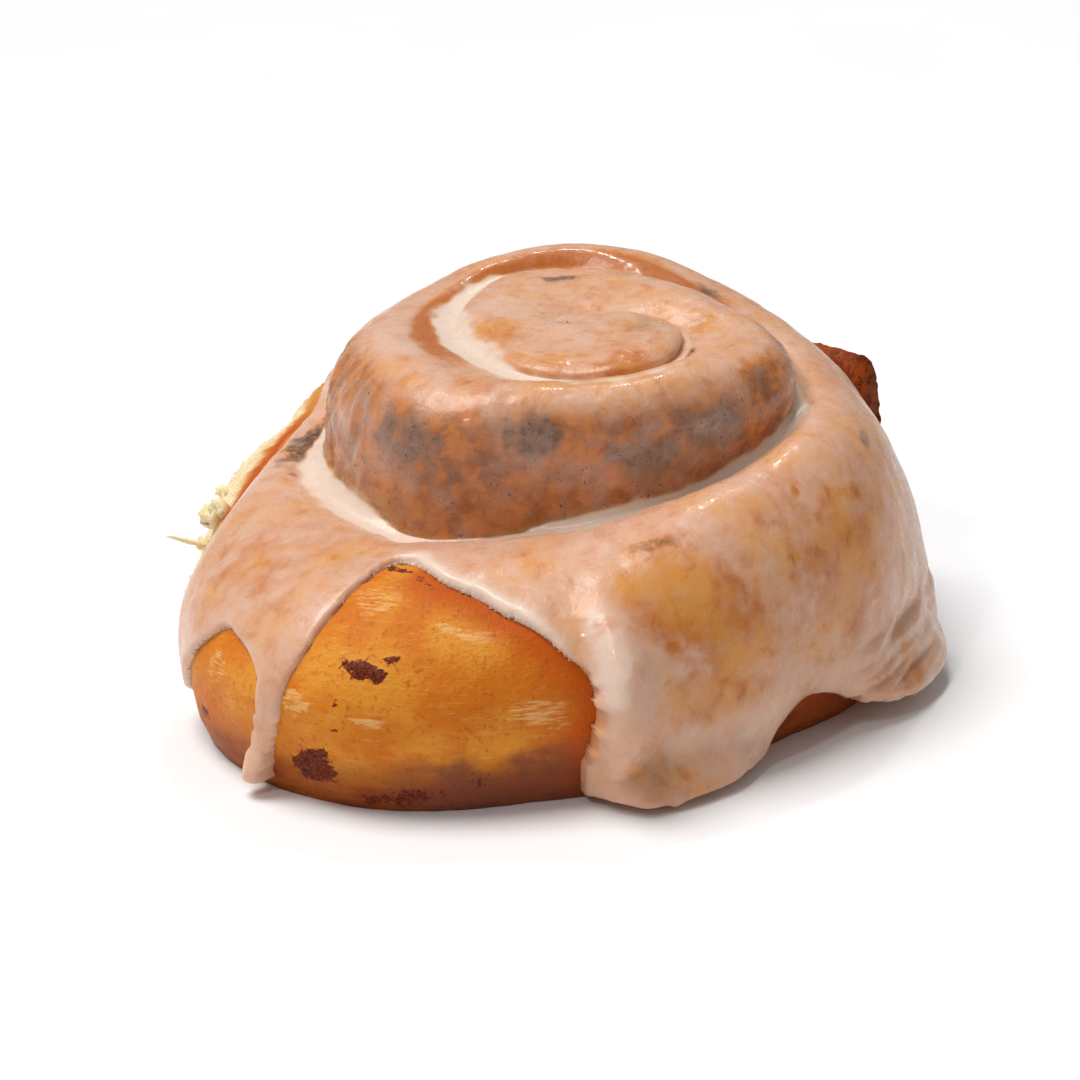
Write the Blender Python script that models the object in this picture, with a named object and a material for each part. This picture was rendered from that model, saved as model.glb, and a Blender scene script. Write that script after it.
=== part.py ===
"""Glazed cinnamon roll: a rolled strip of baked dough, its cinnamon filling and its icing.

The roll rests on z = 0 and is seen from -Y. The strip winds clockwise from the eye of the roll,
and its place along the spiral is told in turns: 0 points to +X, 0.25 to -Y, 0.5 to -X, 0.75 to +Y.
Lengths in the tables are millimetres, and the meshes are built in metres.
"""
import math

import bmesh
import bpy
import numpy as np
from mathutils import Vector, noise

MM = 0.001

# Spiral of the strip
EYE_Y = 7.0
EYE_HEIGHT = 58.2
START_TURN = -0.5
SLIT_START_TURN = -0.13
TAIL_TURN = 2.93
FREE_COLUMNS_TURN = 1.70
FREE_FROM_TURN = 1.90
FREE_WITHIN_TURNS = 0.08
ICING_END_TURN = 2.79

# Seam between neighbouring laps, and the ribbon of filling in it
SLIT_HALF_WIDTH = 0.9
SLIT_FLOOR = 3.0
FILLING_HALF_WIDTH = 0.6
FILLING_CLEARANCE = 0.35
FILLING_DROP = 0.5
FILLING_START_ROWS = 3

# Icing
ICING_GAP = 0.4
ICING_THICKNESS = 1.0
ICING_FLOOR_GAP = 0.5
POOL_THICKNESS = 0.7
BEAD_THICKNESS = 0.5
BEAD_DISTANCE = 2.0
SWELL_SPREAD = 7.0
RIM_SHARE = 0.7
EDGE_MARGIN = 0.3
UPRIGHT_ZONE = 12.0
DIRECTION_ROUNDS = 8

# Roundness of the lap profile: lengths of the handles of its curves, in shares of the way
ROUND_HANDLE = 0.55
CROWN_HANDLE = 0.5
WALL_HANDLE = 0.5
HIDDEN_HANDLE = 0.12
FOOT_RISE = 0.35
VALLEY_SHARE = 0.4

# The same in millimetres
FOOT_BULGE = 0.6
VALLEY_HANDLE = 2.8
TUCK_INSET = 0.8
FOOT_INSET = 2.4

# Slow unevenness of the whole roll and small relief of the bare crust
WARP_SIZE = 1.1
WARP_LENGTH = 21.0
WARP_RISE = 14.0
WARP_SHIFTS = ((11.3, 0.0, 0.0), (0.0, 27.1, 0.0), (0.0, 0.0, 41.7))
CRUST_RELIEF = 0.35
CRUST_LENGTH = 6.2
TORN_RELIEF = 1.3
TORN_LENGTH = 5.0
TORN_START_TURN = 2.45
TORN_END_TURN = 2.72
TORN_START_WITHIN = 0.03
TORN_END_WITHIN = 0.06
RELIEF_CLEARANCE = 0.05
RELIEF_WITHIN = 0.10

# Rows of the mesh in each turn, and extra rows where the edge of the icing is steep
ROWS_PER_TURN = 40
LEAST_ROW_GAP = 0.4
WINDOW_ROWS = (0.232, 0.2385, 0.2415, 0.25, 0.266, 0.282, 0.30, 0.32, 0.341)
DRIP_ROWS = (0.3465, 0.349, 0.3555, 0.358, 0.3645, 0.371, 0.3735, 0.383, 0.396, 0.406)
TORN_ROWS = (0.416, 0.428, 0.438, 0.446, 0.451, 0.457, 0.466, 0.480, 0.512)
TAIL_ROWS = (0.9415, 0.953, 0.9635)
INNER_COLUMNS = 3
CREST_COLUMNS = 3
WALL_COLUMNS = 4
FREE_COLUMNS = 10
WALL_SAMPLES = 60
SMALL = 1e-9

# turn up to which, and counts of columns on the inner slope, the crest and the outer wall there
EYE_COLUMNS = (
    (-0.36, (0, 0, 1)),
    (-0.20, (1, 0, 1)),
    (0.10, (1, 1, 2)),
    (0.50, (2, 2, 3)),
)

# turn, seam radius, seam height, crown radius, crown height, widest radius, widest height
STATIONS = (
    (-0.50, 0.0, 58.2, 0.0, 58.2, 0.0, 58.2),
    (-0.25, 4.5, 57.6, 2.6, 58.6, 3.9, 58.1),
    (-0.12, 8.5, 57.2, 5.2, 58.8, 7.3, 58.0),
    (0.00, 19.0, 56.0, 12.5, 58.4, 17.6, 57.1),
    (0.12, 21.0, 54.6, 13.5, 57.6, 19.2, 56.0),
    (0.25, 18.2, 54.2, 10.5, 57.0, 16.2, 55.6),
    (0.40, 15.2, 54.5, 9.0, 57.2, 13.4, 55.9),
    (0.50, 17.0, 55.0, 11.0, 57.7, 15.2, 56.4),
    (0.62, 23.7, 56.4, 15.5, 59.0, 21.8, 57.8),
    (0.72, 28.0, 58.4, 19.0, 60.4, 26.0, 59.6),
    (0.85, 27.0, 57.6, 20.5, 60.8, 25.8, 59.4),
    (0.95, 30.0, 55.4, 24.0, 60.0, 29.2, 57.6),
    (1.03, 38.0, 46.0, 30.0, 57.6, 37.0, 52.0),
    (1.12, 30.0, 36.5, 24.5, 56.6, 30.6, 50.0),
    (1.25, 27.5, 33.0, 21.8, 55.6, 27.6, 49.5),
    (1.37, 37.0, 30.0, 24.5, 56.0, 34.0, 47.0),
    (1.50, 40.0, 34.0, 27.4, 56.7, 36.9, 44.0),
    (1.62, 42.5, 38.0, 29.6, 58.4, 39.2, 47.0),
    (1.75, 43.5, 41.0, 34.0, 61.8, 41.5, 51.0),
    (1.87, 46.5, 40.0, 37.0, 56.4, 45.5, 46.6),
    (1.93, 50.5, 38.0, 37.3, 53.0, 48.8, 41.0),
    (1.965, 53.0, 22.0, 38.8, 50.2, 52.3, 26.0),
    (2.00, 56.0, 6.0, 41.5, 47.6, 57.4, 14.5),
    (2.12, 49.5, 6.0, 40.0, 42.5, 52.5, 15.0),
    (2.25, 56.5, 5.5, 36.5, 35.2, 59.0, 15.0),
    (2.34, 68.2, 5.0, 42.3, 33.4, 70.0, 14.4),
    (2.37, 69.4, 5.0, 44.0, 32.5, 70.9, 14.0),
    (2.41, 68.0, 4.5, 44.8, 32.8, 69.0, 12.0),
    (2.44, 64.3, 5.5, 45.5, 33.2, 65.1, 13.0),
    (2.50, 59.8, 6.0, 45.5, 34.4, 61.3, 13.5),
    (2.58, 59.4, 6.0, 47.0, 36.2, 61.6, 18.5),
    (2.64, 61.0, 6.0, 53.0, 39.3, 64.2, 25.0),
    (2.75, 58.0, 6.0, 52.0, 41.5, 61.0, 24.0),
    (2.86, 57.5, 6.0, 53.5, 45.0, 60.5, 31.0),
    (2.93, 57.0, 6.0, 55.5, 46.5, 60.0, 36.0),
)

# turn, share of the outer wall from crown to foot that the icing covers
REACH = (
    (1.70, 1.00),
    (1.79, 1.00),
    (1.80, 0.70),
    (1.93, 0.70),
    (1.96, 0.92),
    (1.985, 1.04),
    (2.05, 1.06),
    (2.09, 0.98),
    (2.115, 0.92),
    (2.14, 0.99),
    (2.155, 1.10),
    (2.2385, 1.10),
    (2.2415, 0.66),
    (2.250, 0.56),
    (2.262, 0.46),
    (2.280, 0.35),
    (2.298, 0.27),
    (2.321, 0.17),
    (2.333, 0.12),
    (2.343, 0.14),
    (2.3465, 0.30),
    (2.349, 0.50),
    (2.352, 0.62),
    (2.3555, 0.72),
    (2.358, 1.06),
    (2.371, 1.06),
    (2.3735, 0.66),
    (2.381, 0.59),
    (2.396, 0.55),
    (2.406, 0.62),
    (2.414, 0.72),
    (2.422, 0.83),
    (2.430, 0.94),
    (2.440, 0.98),
    (2.446, 0.90),
    (2.450, 0.78),
    (2.454, 0.62),
    (2.459, 0.47),
    (2.466, 0.34),
    (2.476, 0.23),
    (2.490, 0.15),
    (2.508, 0.11),
    (2.54, 0.09),
    (2.58, 0.10),
    (2.62, 0.15),
    (2.66, 0.32),
    (2.69, 0.50),
    (2.73, 0.44),
    (2.77, 0.34),
    (2.79, 0.14),
)

# turn, added thickness of the icing at its lower edge
EDGE_SWELL = (
    (1.70, 0.0),
    (1.93, 0.0),
    (1.98, 4.5),
    (2.02, 8.0),
    (2.05, 7.5),
    (2.08, 4.5),
    (2.10, 2.0),
    (2.12, 0.8),
    (2.15, 3.0),
    (2.18, 7.0),
    (2.222, 8.5),
    (2.233, 5.5),
    (2.2385, 3.0),
    (2.25, 0.5),
    (2.35, 0.3),
    (2.358, 5.0),
    (2.3645, 7.0),
    (2.371, 5.0),
    (2.38, 0.3),
    (2.79, 0.2),
)


def slopes(steps, values):
    """Slopes at the knots of a table, level wherever the values turn back."""
    gaps = np.diff(steps)[:, None]
    rises = np.diff(values, axis=0) / gaps
    result = np.zeros_like(values)
    result[0] = rises[0]
    result[-1] = rises[-1]
    before = 2 * gaps[1:] + gaps[:-1]
    after = gaps[1:] + 2 * gaps[:-1]
    same_way = rises[:-1] * rises[1:] > 0
    first = np.where(same_way, rises[:-1], 1.0)
    second = np.where(same_way, rises[1:], 1.0)
    mean = (before + after) / (before / first + after / second)
    result[1:-1] = np.where(same_way, mean, 0.0)
    return result


def read_table(table, turns):
    """Smooth values of a table at the given turns, one row for each turn."""
    table = np.array(table, float)
    steps = table[:, 0]
    values = table[:, 1:]
    tangents = slopes(steps, values)
    turns = np.clip(np.asarray(turns, float), steps[0], steps[-1])
    cell = np.clip(np.searchsorted(steps, turns, side="right") - 1, 0, len(steps) - 2)
    width = (steps[cell + 1] - steps[cell])[:, None]
    t = (turns - steps[cell])[:, None] / width
    start = (2 * t**3 - 3 * t**2 + 1) * values[cell] + (t**3 - 2 * t**2 + t) * width * tangents[cell]
    end = (3 * t**2 - 2 * t**3) * values[cell + 1] + (t**3 - t**2) * width * tangents[cell + 1]
    return start + end


def curve(start, first, second, end, share):
    """Points of cubic curves, one curve for each row of the four corners."""
    t = np.asarray(share)[None, :, None]
    corners = [np.asarray(corner)[:, None, :] for corner in (start, first, second, end)]
    weights = ((1 - t) ** 3, 3 * t * (1 - t) ** 2, 3 * t**2 * (1 - t), t**3)
    return sum(weight * corner for weight, corner in zip(weights, corners))


def even_steps(count):
    return np.arange(1, count + 1) / count


def lap_keys(turns):
    """Seam, crown and widest point of the lap, and the valley on its inner side."""
    keys = read_table(STATIONS, turns)
    inner = read_table(STATIONS, np.asarray(turns) - 1.0)
    valley = inner[:, 0:2]
    near_eye = np.asarray(turns) < START_TURN + 1.0
    valley = np.where(near_eye[:, None], (0.0, EYE_HEIGHT), valley)
    return valley, keys[:, 2:4], keys[:, 4:6], keys[:, 0:2]


def freedom(turns):
    """0 where the next lap hides the outer wall of a lap, 1 where the wall stands free."""
    share = np.clip((np.asarray(turns) - FREE_FROM_TURN) / FREE_WITHIN_TURNS, 0.0, 1.0)
    return share * share * (3 - 2 * share)


def across(distance, rise):
    return np.stack([distance, rise], axis=-1)


def inner_slope(valley, crown, share):
    run = crown[:, 0] - valley[:, 0]
    level = np.zeros_like(run)
    first = valley + across(np.minimum(VALLEY_HANDLE, VALLEY_SHARE * run), level)
    second = crown - across(CROWN_HANDLE * run, level)
    return curve(valley, first, second, crown, share)


def crest(crown, widest, share):
    run = widest - crown
    first = crown + across(ROUND_HANDLE * run[:, 0], 0 * run[:, 0])
    second = widest - across(0 * run[:, 0], ROUND_HANDLE * run[:, 1])
    return curve(crown, first, second, widest, share)


def outer_wall(widest, seam, free, share):
    drop = widest[:, 1] - seam[:, 1]
    level = np.zeros_like(drop)
    first = widest - across(level, WALL_HANDLE * drop)
    reach = np.minimum(VALLEY_HANDLE, HIDDEN_HANDLE * seam[:, 0])
    hidden = seam - across(reach, level)
    shown = seam + across(level + FOOT_BULGE, FOOT_RISE * drop)
    second = hidden * (1 - free)[:, None] + shown * free[:, None]
    return curve(widest, first, second, seam, share)


def to_space(turns, profile):
    """Points in space of a profile told as radius and height."""
    angle = -2 * math.pi * np.asarray(turns)[:, None]
    radius = profile[..., 0]
    return np.stack([radius * np.cos(angle), EYE_Y + radius * np.sin(angle), profile[..., 1]], axis=-1)


def warp(points):
    """The slow unevenness of a hand-made roll, level on the ground."""
    moved = np.array(points, float)
    for index, point in enumerate(points):
        spot = Vector(point) / WARP_LENGTH
        push = [noise.noise(spot + Vector(shift)) * WARP_SIZE for shift in WARP_SHIFTS]
        hold = min(1.0, point[2] / WARP_RISE)
        moved[index] += (push[0], push[1], push[2] * hold)
    return moved


def row_turns():
    """Turns of all rows, alike in every lap so that neighbours share their seam."""
    even = [row / ROWS_PER_TURN for row in range(ROWS_PER_TURN)]
    extra = list(WINDOW_ROWS + DRIP_ROWS + TORN_ROWS + TAIL_ROWS)
    clear = LEAST_ROW_GAP / ROWS_PER_TURN
    start = START_TURN % 1.0
    fixed = extra + [TAIL_TURN % 1.0]
    kept = [turn for turn in even if turn == start or min(abs(turn - other) for other in fixed) > clear]
    fractions = sorted(kept + fixed)
    turns = [lap + fraction for lap in range(-1, 3) for fraction in fractions]
    turns = [turn for turn in turns if START_TURN <= turn <= TAIL_TURN + SMALL]
    return np.array(turns), len(fractions)


def columns_for(turn):
    """Counts of columns on the inner slope, the crest and the outer wall of a lap."""
    for last, counts in EYE_COLUMNS:
        if turn < last:
            return counts
    return INNER_COLUMNS, CREST_COLUMNS, WALL_COLUMNS


def lap_row(turn):
    """Points of one lap from the valley on its inner side to its seam, both left in."""
    turns = [turn]
    valley, crown, widest, seam = lap_keys(turns)
    inner_count, crest_count, wall_count = columns_for(turn)
    parts = [valley[:, None, :]]
    if inner_count:
        parts.append(inner_slope(valley, crown, even_steps(inner_count)))
    if crest_count:
        parts.append(crest(crown, widest, even_steps(crest_count)))
    parts.append(outer_wall(widest, seam, freedom(turns), even_steps(wall_count)))
    return np.concatenate(parts, axis=1)


class Shell:
    """Vertices and faces of a mesh under way, in millimetres."""

    def __init__(self):
        self.points = []
        self.faces = []

    def add(self, point):
        self.points.append(tuple(point))
        return len(self.points) - 1

    def add_face(self, corners):
        kept = [corner for place, corner in enumerate(corners) if corner != corners[place - 1]]
        if len(kept) > 2:
            self.faces.append(kept)

    def shares(self, row):
        """Place of each vertex between the ends of a row, told by the vertices between them."""
        if len(row) < 4:
            return np.linspace(0, 1, len(row))
        points = np.array([self.points[corner] for corner in row])
        lengths = np.cumsum(np.linalg.norm(np.diff(points, axis=0), axis=1))
        between = (lengths[:-1] - lengths[0]) / (lengths[-2] - lengths[0])
        return np.concatenate([[-0.1], between, [1.1]])

    def zip_rows(self, first, second):
        """Faces between two rows of vertices, which may differ in number."""
        if len(first) == len(second):
            for column in range(len(first) - 1):
                self.add_face([first[column], second[column], second[column + 1], first[column + 1]])
            return
        shares_here, shares_there = self.shares(first), self.shares(second)
        here, there = 0, 0
        while here < len(first) - 1 or there < len(second) - 1:
            left_here = here < len(first) - 1
            left_there = there < len(second) - 1
            if left_here and (not left_there or shares_here[here + 1] <= shares_there[there + 1]):
                self.add_face([first[here], second[there], first[here + 1]])
                here += 1
            else:
                self.add_face([first[here], second[there], second[there + 1]])
                there += 1


def vertex_normals(points, faces):
    normals = np.zeros_like(points)
    for face in faces:
        corners = points[face]
        normal = np.zeros(3)
        for place in range(1, len(face) - 1):
            normal += np.cross(corners[place] - corners[0], corners[place + 1] - corners[0])
        normals[face] += normal
    return normals / np.linalg.norm(normals, axis=1, keepdims=True)


def wall_points(turn, shares):
    """Points of the free wall of a lap at given shares of its length from crown to seam."""
    valley, crown, widest, seam = lap_keys([turn])
    fine = np.linspace(0, 1, WALL_SAMPLES)
    upper = crest(crown, widest, fine)
    lower = outer_wall(widest, seam, freedom([turn]), fine[1:])
    wall = np.concatenate([upper, lower], axis=1)[0]
    lengths = np.concatenate([[0], np.cumsum(np.linalg.norm(np.diff(wall, axis=0), axis=1))])
    steps = np.asarray(shares) * lengths[-1]
    tuck = (seam[0, 0] - TUCK_INSET, SLIT_FLOOR)
    foot = (seam[0, 0] - FOOT_INSET, 0.0)
    below = np.array([seam[0], tuck, foot])
    wall = np.concatenate([wall, below[1:]])
    lengths = np.append(lengths, lengths[-1] + np.cumsum(np.linalg.norm(np.diff(below, axis=0), axis=1)))
    return np.stack([np.interp(steps, lengths, wall[:, axis]) for axis in range(2)], axis=-1)


def within(value):
    return min(1.0, max(0.0, value))


def crust_relief(turn, share, point):
    """Height of the small relief on the bare outer wall, 0 where the icing lies."""
    reach = float(read_table(REACH, [turn])[0, 0])
    bare = within((share - reach - RELIEF_CLEARANCE) / RELIEF_WITHIN)
    torn = within((turn - TORN_START_TURN) / TORN_START_WITHIN)
    torn *= within((TORN_END_TURN - turn) / TORN_END_WITHIN)
    rough = abs(noise.noise(Vector(point) / TORN_LENGTH)) * TORN_RELIEF * torn
    fine = abs(noise.noise(Vector(point) / CRUST_LENGTH)) * CRUST_RELIEF
    return -bare * (fine + rough)


def dough_row(turn):
    """Points of a lap of dough in space, with relief where its wall stands bare."""
    profile = lap_row(turn)
    if turn < FREE_COLUMNS_TURN:
        return to_space([turn], profile)[0]
    shares = even_steps(FREE_COLUMNS)
    profile = np.concatenate([profile[0, :INNER_COLUMNS + 1], wall_points(turn, shares)])
    points = to_space([turn], profile[None])[0]
    if turn < TAIL_TURN - 1.0 + SMALL:
        return points
    outward = spoke(turn)
    for column, share in enumerate(shares[:-1], INNER_COLUMNS + 1):
        points[column] = points[column] + outward * crust_relief(turn, share, points[column])
    return points


def spoke(turn):
    angle = -2 * math.pi * turn
    return np.array((math.cos(angle), math.sin(angle), 0.0))


def away_from_eye(point):
    level = point - (0.0, EYE_Y, point[2])
    return level / max(SMALL, np.linalg.norm(level))


class Strip:
    """The rolled strip of dough: laps on top, slit between laps, free outer wall and base."""

    def __init__(self):
        self.shell = Shell()
        self.turns, self.per_turn = row_turns()
        self.slit_row = int(np.searchsorted(self.turns, SLIT_START_TURN))
        self.tail_row = int(np.argmin(abs(self.turns - (TAIL_TURN - 1.0))))
        self.eye = self.shell.add((0.0, EYE_Y, EYE_HEIGHT))
        self.near = {0: self.eye}
        self.far = {0: self.eye}
        self.near_floor = {}
        self.far_floor = {}
        self.rows = [[self.eye]]
        for row in range(1, len(self.turns)):
            self.rows.append(self.add_row(row))

    def add_row(self, row):
        """Vertices of one row, from the seam on the inner side of the lap to its own seam or foot."""
        points = dough_row(self.turns[row])
        seam = points[-1]
        corners = [self.eye if row <= self.per_turn else self.far[row - self.per_turn]]
        corners += [self.shell.add(point) for point in points[1:-1]]
        self.add_seam(row, seam)
        corners.append(self.near[row])
        if row >= self.tail_row:
            corners += self.add_foot(row, seam)
        return corners

    def add_seam(self, row, seam):
        """The seam of a row, which opens into the two lips and the floor of the slit."""
        outward = away_from_eye(seam)
        floor = (0.0, 0.0, SLIT_FLOOR - seam[2])
        if self.slit_row < row <= self.tail_row:
            self.near[row] = self.shell.add(seam - outward * SLIT_HALF_WIDTH)
            self.far[row] = self.shell.add(seam + outward * SLIT_HALF_WIDTH)
            self.near_floor[row] = self.shell.add(seam - outward * SLIT_HALF_WIDTH + floor)
            self.far_floor[row] = self.shell.add(seam + outward * SLIT_HALF_WIDTH + floor)
            return
        self.near[row] = self.far[row] = self.shell.add(seam)
        if row == self.slit_row:
            self.near_floor[row] = self.far_floor[row] = self.shell.add(seam + floor)

    def add_foot(self, row, seam):
        """The undercut and the foot of the free wall."""
        outward = away_from_eye(seam)
        tuck = self.near_floor.get(row)
        if tuck is None:
            tuck = self.shell.add(seam - outward * TUCK_INSET + (0.0, 0.0, SLIT_FLOOR - seam[2]))
        foot = self.shell.add(seam - outward * FOOT_INSET - (0.0, 0.0, seam[2]))
        return [tuck, foot]

    def join_laps(self):
        for row in range(1, len(self.rows)):
            last = self.rows[row]
            if row == self.tail_row:
                last = last[:-2]
            self.shell.zip_rows(self.rows[row - 1], last)

    def join_slit(self):
        near, far = self.near, self.far
        low_near, low_far = self.near_floor, self.far_floor
        for row in range(self.slit_row, self.tail_row):
            after = row + 1
            self.shell.add_face([near[row], low_near[row], low_near[after], near[after]])
            self.shell.add_face([low_far[row], far[row], far[after], low_far[after]])
            self.shell.add_face([low_near[row], low_far[row], low_far[after], low_near[after]])

    def close_base(self):
        """The flat base, spread from the point under the eye to the foot of the wall."""
        centre = self.shell.add((0.0, EYE_Y, 0.0))
        feet = [row[-1] for row in self.rows[self.tail_row:]]
        for first, second in zip(feet[:-2], feet[1:-1]):
            self.shell.add_face([centre, first, second])
        self.shell.add_face([centre, feet[-2], feet[-1], feet[0]])

    def close_end(self):
        """The end face of the tail, down to the slit behind it."""
        tail = self.tail_row
        below = [self.rows[tail][-1], self.near_floor[tail], self.far_floor[tail]]
        self.shell.add_face(self.rows[-1] + below)


def build_dough_shell():
    strip = Strip()
    strip.join_laps()
    strip.join_slit()
    strip.close_base()
    strip.close_end()
    return strip.shell


def build_filling_shell():
    """A ribbon that stands in the slit, clear of the dough on both sides."""
    shell = Shell()
    turns, _ = row_turns()
    start = int(np.searchsorted(turns, SLIT_START_TURN)) + FILLING_START_ROWS
    end = int(np.argmin(abs(turns - (TAIL_TURN - 1.0)))) - 1
    loops = []
    for turn in turns[start:end + 1]:
        radius, height = read_table(STATIONS, [turn])[0, 0:2]
        low = SLIT_FLOOR + FILLING_CLEARANCE
        high = height - FILLING_DROP
        inside, outside = radius - FILLING_HALF_WIDTH, radius + FILLING_HALF_WIDTH
        corners = np.array([[(inside, low), (outside, low), (outside, high), (inside, high)]])
        loops.append([shell.add(point) for point in to_space([turn], corners)[0]])
    for first, second in zip(loops[:-1], loops[1:]):
        for side in range(4):
            other = (side + 1) % 4
            shell.add_face([first[side], second[side], second[other], first[other]])
    shell.add_face(loops[0])
    shell.add_face(loops[-1][::-1])
    return shell


def icing_row(turn):
    """Points of the base of the icing on one lap, and the swell of each point."""
    profile = lap_row(turn)[0]
    swell = np.zeros(len(profile))
    swell[-1] = POOL_THICKNESS
    if turn > START_TURN + 1.0:
        swell[0] = POOL_THICKNESS
    if turn < FREE_COLUMNS_TURN:
        return profile, swell
    reach = float(read_table(REACH, [turn])[0, 0])
    shares = even_steps(FREE_COLUMNS)
    shares = np.append(shares[shares < reach - EDGE_MARGIN / FREE_COLUMNS], reach)
    wall = wall_points(turn, shares)
    edge = float(read_table(EDGE_SWELL, [turn])[0, 0])
    distance = np.linalg.norm(wall - wall[-1], axis=1)
    bead = BEAD_THICKNESS * np.exp(-((distance / BEAD_DISTANCE - 1.0) ** 2))
    wall_swell = bead + edge * np.exp(-((distance / SWELL_SPREAD) ** 2))
    wall_swell[-1] *= RIM_SHARE
    if turn <= ICING_END_TURN - 1.0:
        wall_swell[-1] = POOL_THICKNESS
    swell = np.concatenate([swell[:1], np.zeros(INNER_COLUMNS), wall_swell])
    return np.concatenate([profile[:INNER_COLUMNS + 1], wall]), swell


def join_free_rows(shell, first, second):
    """Faces between two rows on the free wall, where a steep edge of the icing stays steep."""
    shared = min(len(first), len(second)) - 1
    for column in range(shared - 1):
        shell.add_face([first[column], second[column], second[column + 1], first[column + 1]])
    last = shared - 1
    if len(first) == len(second):
        shell.add_face([first[last], second[last], second[last + 1], first[last + 1]])
    elif len(first) < len(second):
        shell.add_face([first[last], second[last], second[last + 1], first[last + 1]])
        if len(second) == len(first) + 1:
            shell.add_face([first[last + 1], second[last + 1], second[last + 2]])
    else:
        shell.add_face([first[last], second[last], second[last + 1], first[last + 1]])
        if len(first) == len(second) + 1:
            shell.add_face([first[last + 1], second[last + 1], first[last + 2]])


def build_icing_base():
    """The face of the dough under the icing, as one sheet from the eye to the lower edge."""
    shell = Shell()
    turns, per_turn = row_turns()
    swells = [0.0]
    eye = shell.add((0.0, EYE_Y, EYE_HEIGHT))
    rows, seam_ids = [], {}
    turns = turns[turns <= ICING_END_TURN]
    for row, turn in enumerate(turns):
        profile, swell = icing_row(turn)
        points = to_space([turn], profile[None])[0]
        ids = [eye if row <= per_turn else seam_ids[row - per_turn]]
        if row > 0:
            for point, thickness in zip(points[1:], swell[1:]):
                ids.append(shell.add(point))
                swells.append(thickness)
        seam_ids[row] = ids[-1]
        rows.append(ids)
    for turn, first, second in zip(turns[:-1], rows[:-1], rows[1:]):
        if turn < FREE_COLUMNS_TURN:
            shell.zip_rows(first, second)
        else:
            join_free_rows(shell, first, second)
    return shell, np.array(swells)


def smooth_directions(directions, faces, rounds):
    """Directions averaged with those of their neighbours, so that they don't cross in a valley."""
    pairs = np.array([(face[place - 1], face[place]) for face in faces for place in range(len(face))])
    for _ in range(rounds):
        total = directions.copy()
        np.add.at(total, pairs[:, 0], directions[pairs[:, 1]])
        np.add.at(total, pairs[:, 1], directions[pairs[:, 0]])
        directions = total / np.linalg.norm(total, axis=1, keepdims=True)
    return directions


def open_edges(faces):
    """Edges of a sheet that only one face uses, in the direction of that face."""
    edges = {(face[place - 1], face[place]) for face in faces for place in range(len(face))}
    return [edge for edge in edges if (edge[1], edge[0]) not in edges]


def build_icing_shell():
    """A closed skin: the sheet moved off the dough, and again by the thickness of the icing."""
    sheet, swells = build_icing_base()
    base = np.array(sheet.points)
    normals = vertex_normals(base, sheet.faces)
    flat = smooth_directions(normals, sheet.faces, DIRECTION_ROUNDS)
    free = flat.copy()
    low = np.clip(1 - base[:, 2] / UPRIGHT_ZONE, 0, 1)[:, None]
    flat[:, 2] = np.maximum(flat[:, 2], 0)
    direction = free * (1 - low) + flat * low
    direction /= np.linalg.norm(direction, axis=1, keepdims=True)
    inner = base + normals * ICING_GAP
    outer = base + direction * (ICING_GAP + ICING_THICKNESS + swells)[:, None]
    shell = Shell()
    shell.points = [tuple(point) for point in np.concatenate([outer, inner])]
    count = len(base)
    shell.faces = [list(face) for face in sheet.faces]
    shell.faces += [[corner + count for corner in reversed(face)] for face in sheet.faces]
    for first, second in sorted(open_edges(sheet.faces)):
        shell.faces.append([second, first, first + count, second + count])
    return shell


def principled(name, colour, roughness, coat=0.0):
    material = bpy.data.materials.new(name)
    material.use_nodes = True
    shader = material.node_tree.nodes["Principled BSDF"]
    shader.inputs["Base Color"].default_value = (*colour, 1.0)
    shader.inputs["Roughness"].default_value = roughness
    shader.inputs["Metallic"].default_value = 0.0
    shader.inputs["Coat Weight"].default_value = coat
    return material


def make_object(name, shell, material, lowest=None):
    """A named object with outward faces, in triangles and in metres."""
    points = warp(shell.points)
    if lowest is not None:
        points[:, 2] = np.maximum(points[:, 2], lowest)
    mesh = bpy.data.meshes.new(name)
    mesh.from_pydata([tuple(point * MM) for point in points], [], shell.faces)
    build = bmesh.new()
    build.from_mesh(mesh)
    bmesh.ops.triangulate(build, faces=build.faces[:], quad_method="SHORT_EDGE", ngon_method="EAR_CLIP")
    bmesh.ops.recalc_face_normals(build, faces=build.faces[:])
    build.to_mesh(mesh)
    build.free()
    mesh.polygons.foreach_set("use_smooth", [True] * len(mesh.polygons))
    mesh.materials.append(material)
    part = bpy.data.objects.new(name, mesh)
    bpy.context.scene.collection.objects.link(part)
    return part


def build_dough():
    material = principled("baked_dough", (0.56, 0.25, 0.07), 0.55)
    return make_object("dough", build_dough_shell(), material)


def build_filling():
    material = principled("cinnamon_filling", (0.11, 0.035, 0.012), 0.45)
    return make_object("cinnamon_filling", build_filling_shell(), material)


def build_icing():
    material = principled("sugar_icing", (0.74, 0.51, 0.39), 0.25, 0.4)
    return make_object("icing", build_icing_shell(), material, ICING_FLOOR_GAP)


for leftover in list(bpy.data.objects):
    bpy.data.objects.remove(leftover, do_unlink=True)
build_dough()
build_filling()
build_icing()
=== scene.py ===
"""Looks of a glazed cinnamon roll: baked dough, cinnamon filling, sugar icing and torn crumb.

The roll rests on z = 0 and is seen from -Y. The strip winds clockwise from the eye of the roll,
and its place along the spiral is told in turns: 0 points to +X, 0.25 to -Y, 0.5 to -X, 0.75 to +Y.
Its place across a lap is told in shares: -1 in the valley on the inner side, 0 on the crown and 1 at
the foot of the outer wall. Lengths in tables are millimetres, and the meshes are built in metres.
"""

import math
import random

import bmesh
import bpy
import numpy as np
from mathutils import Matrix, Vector, kdtree, noise


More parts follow.
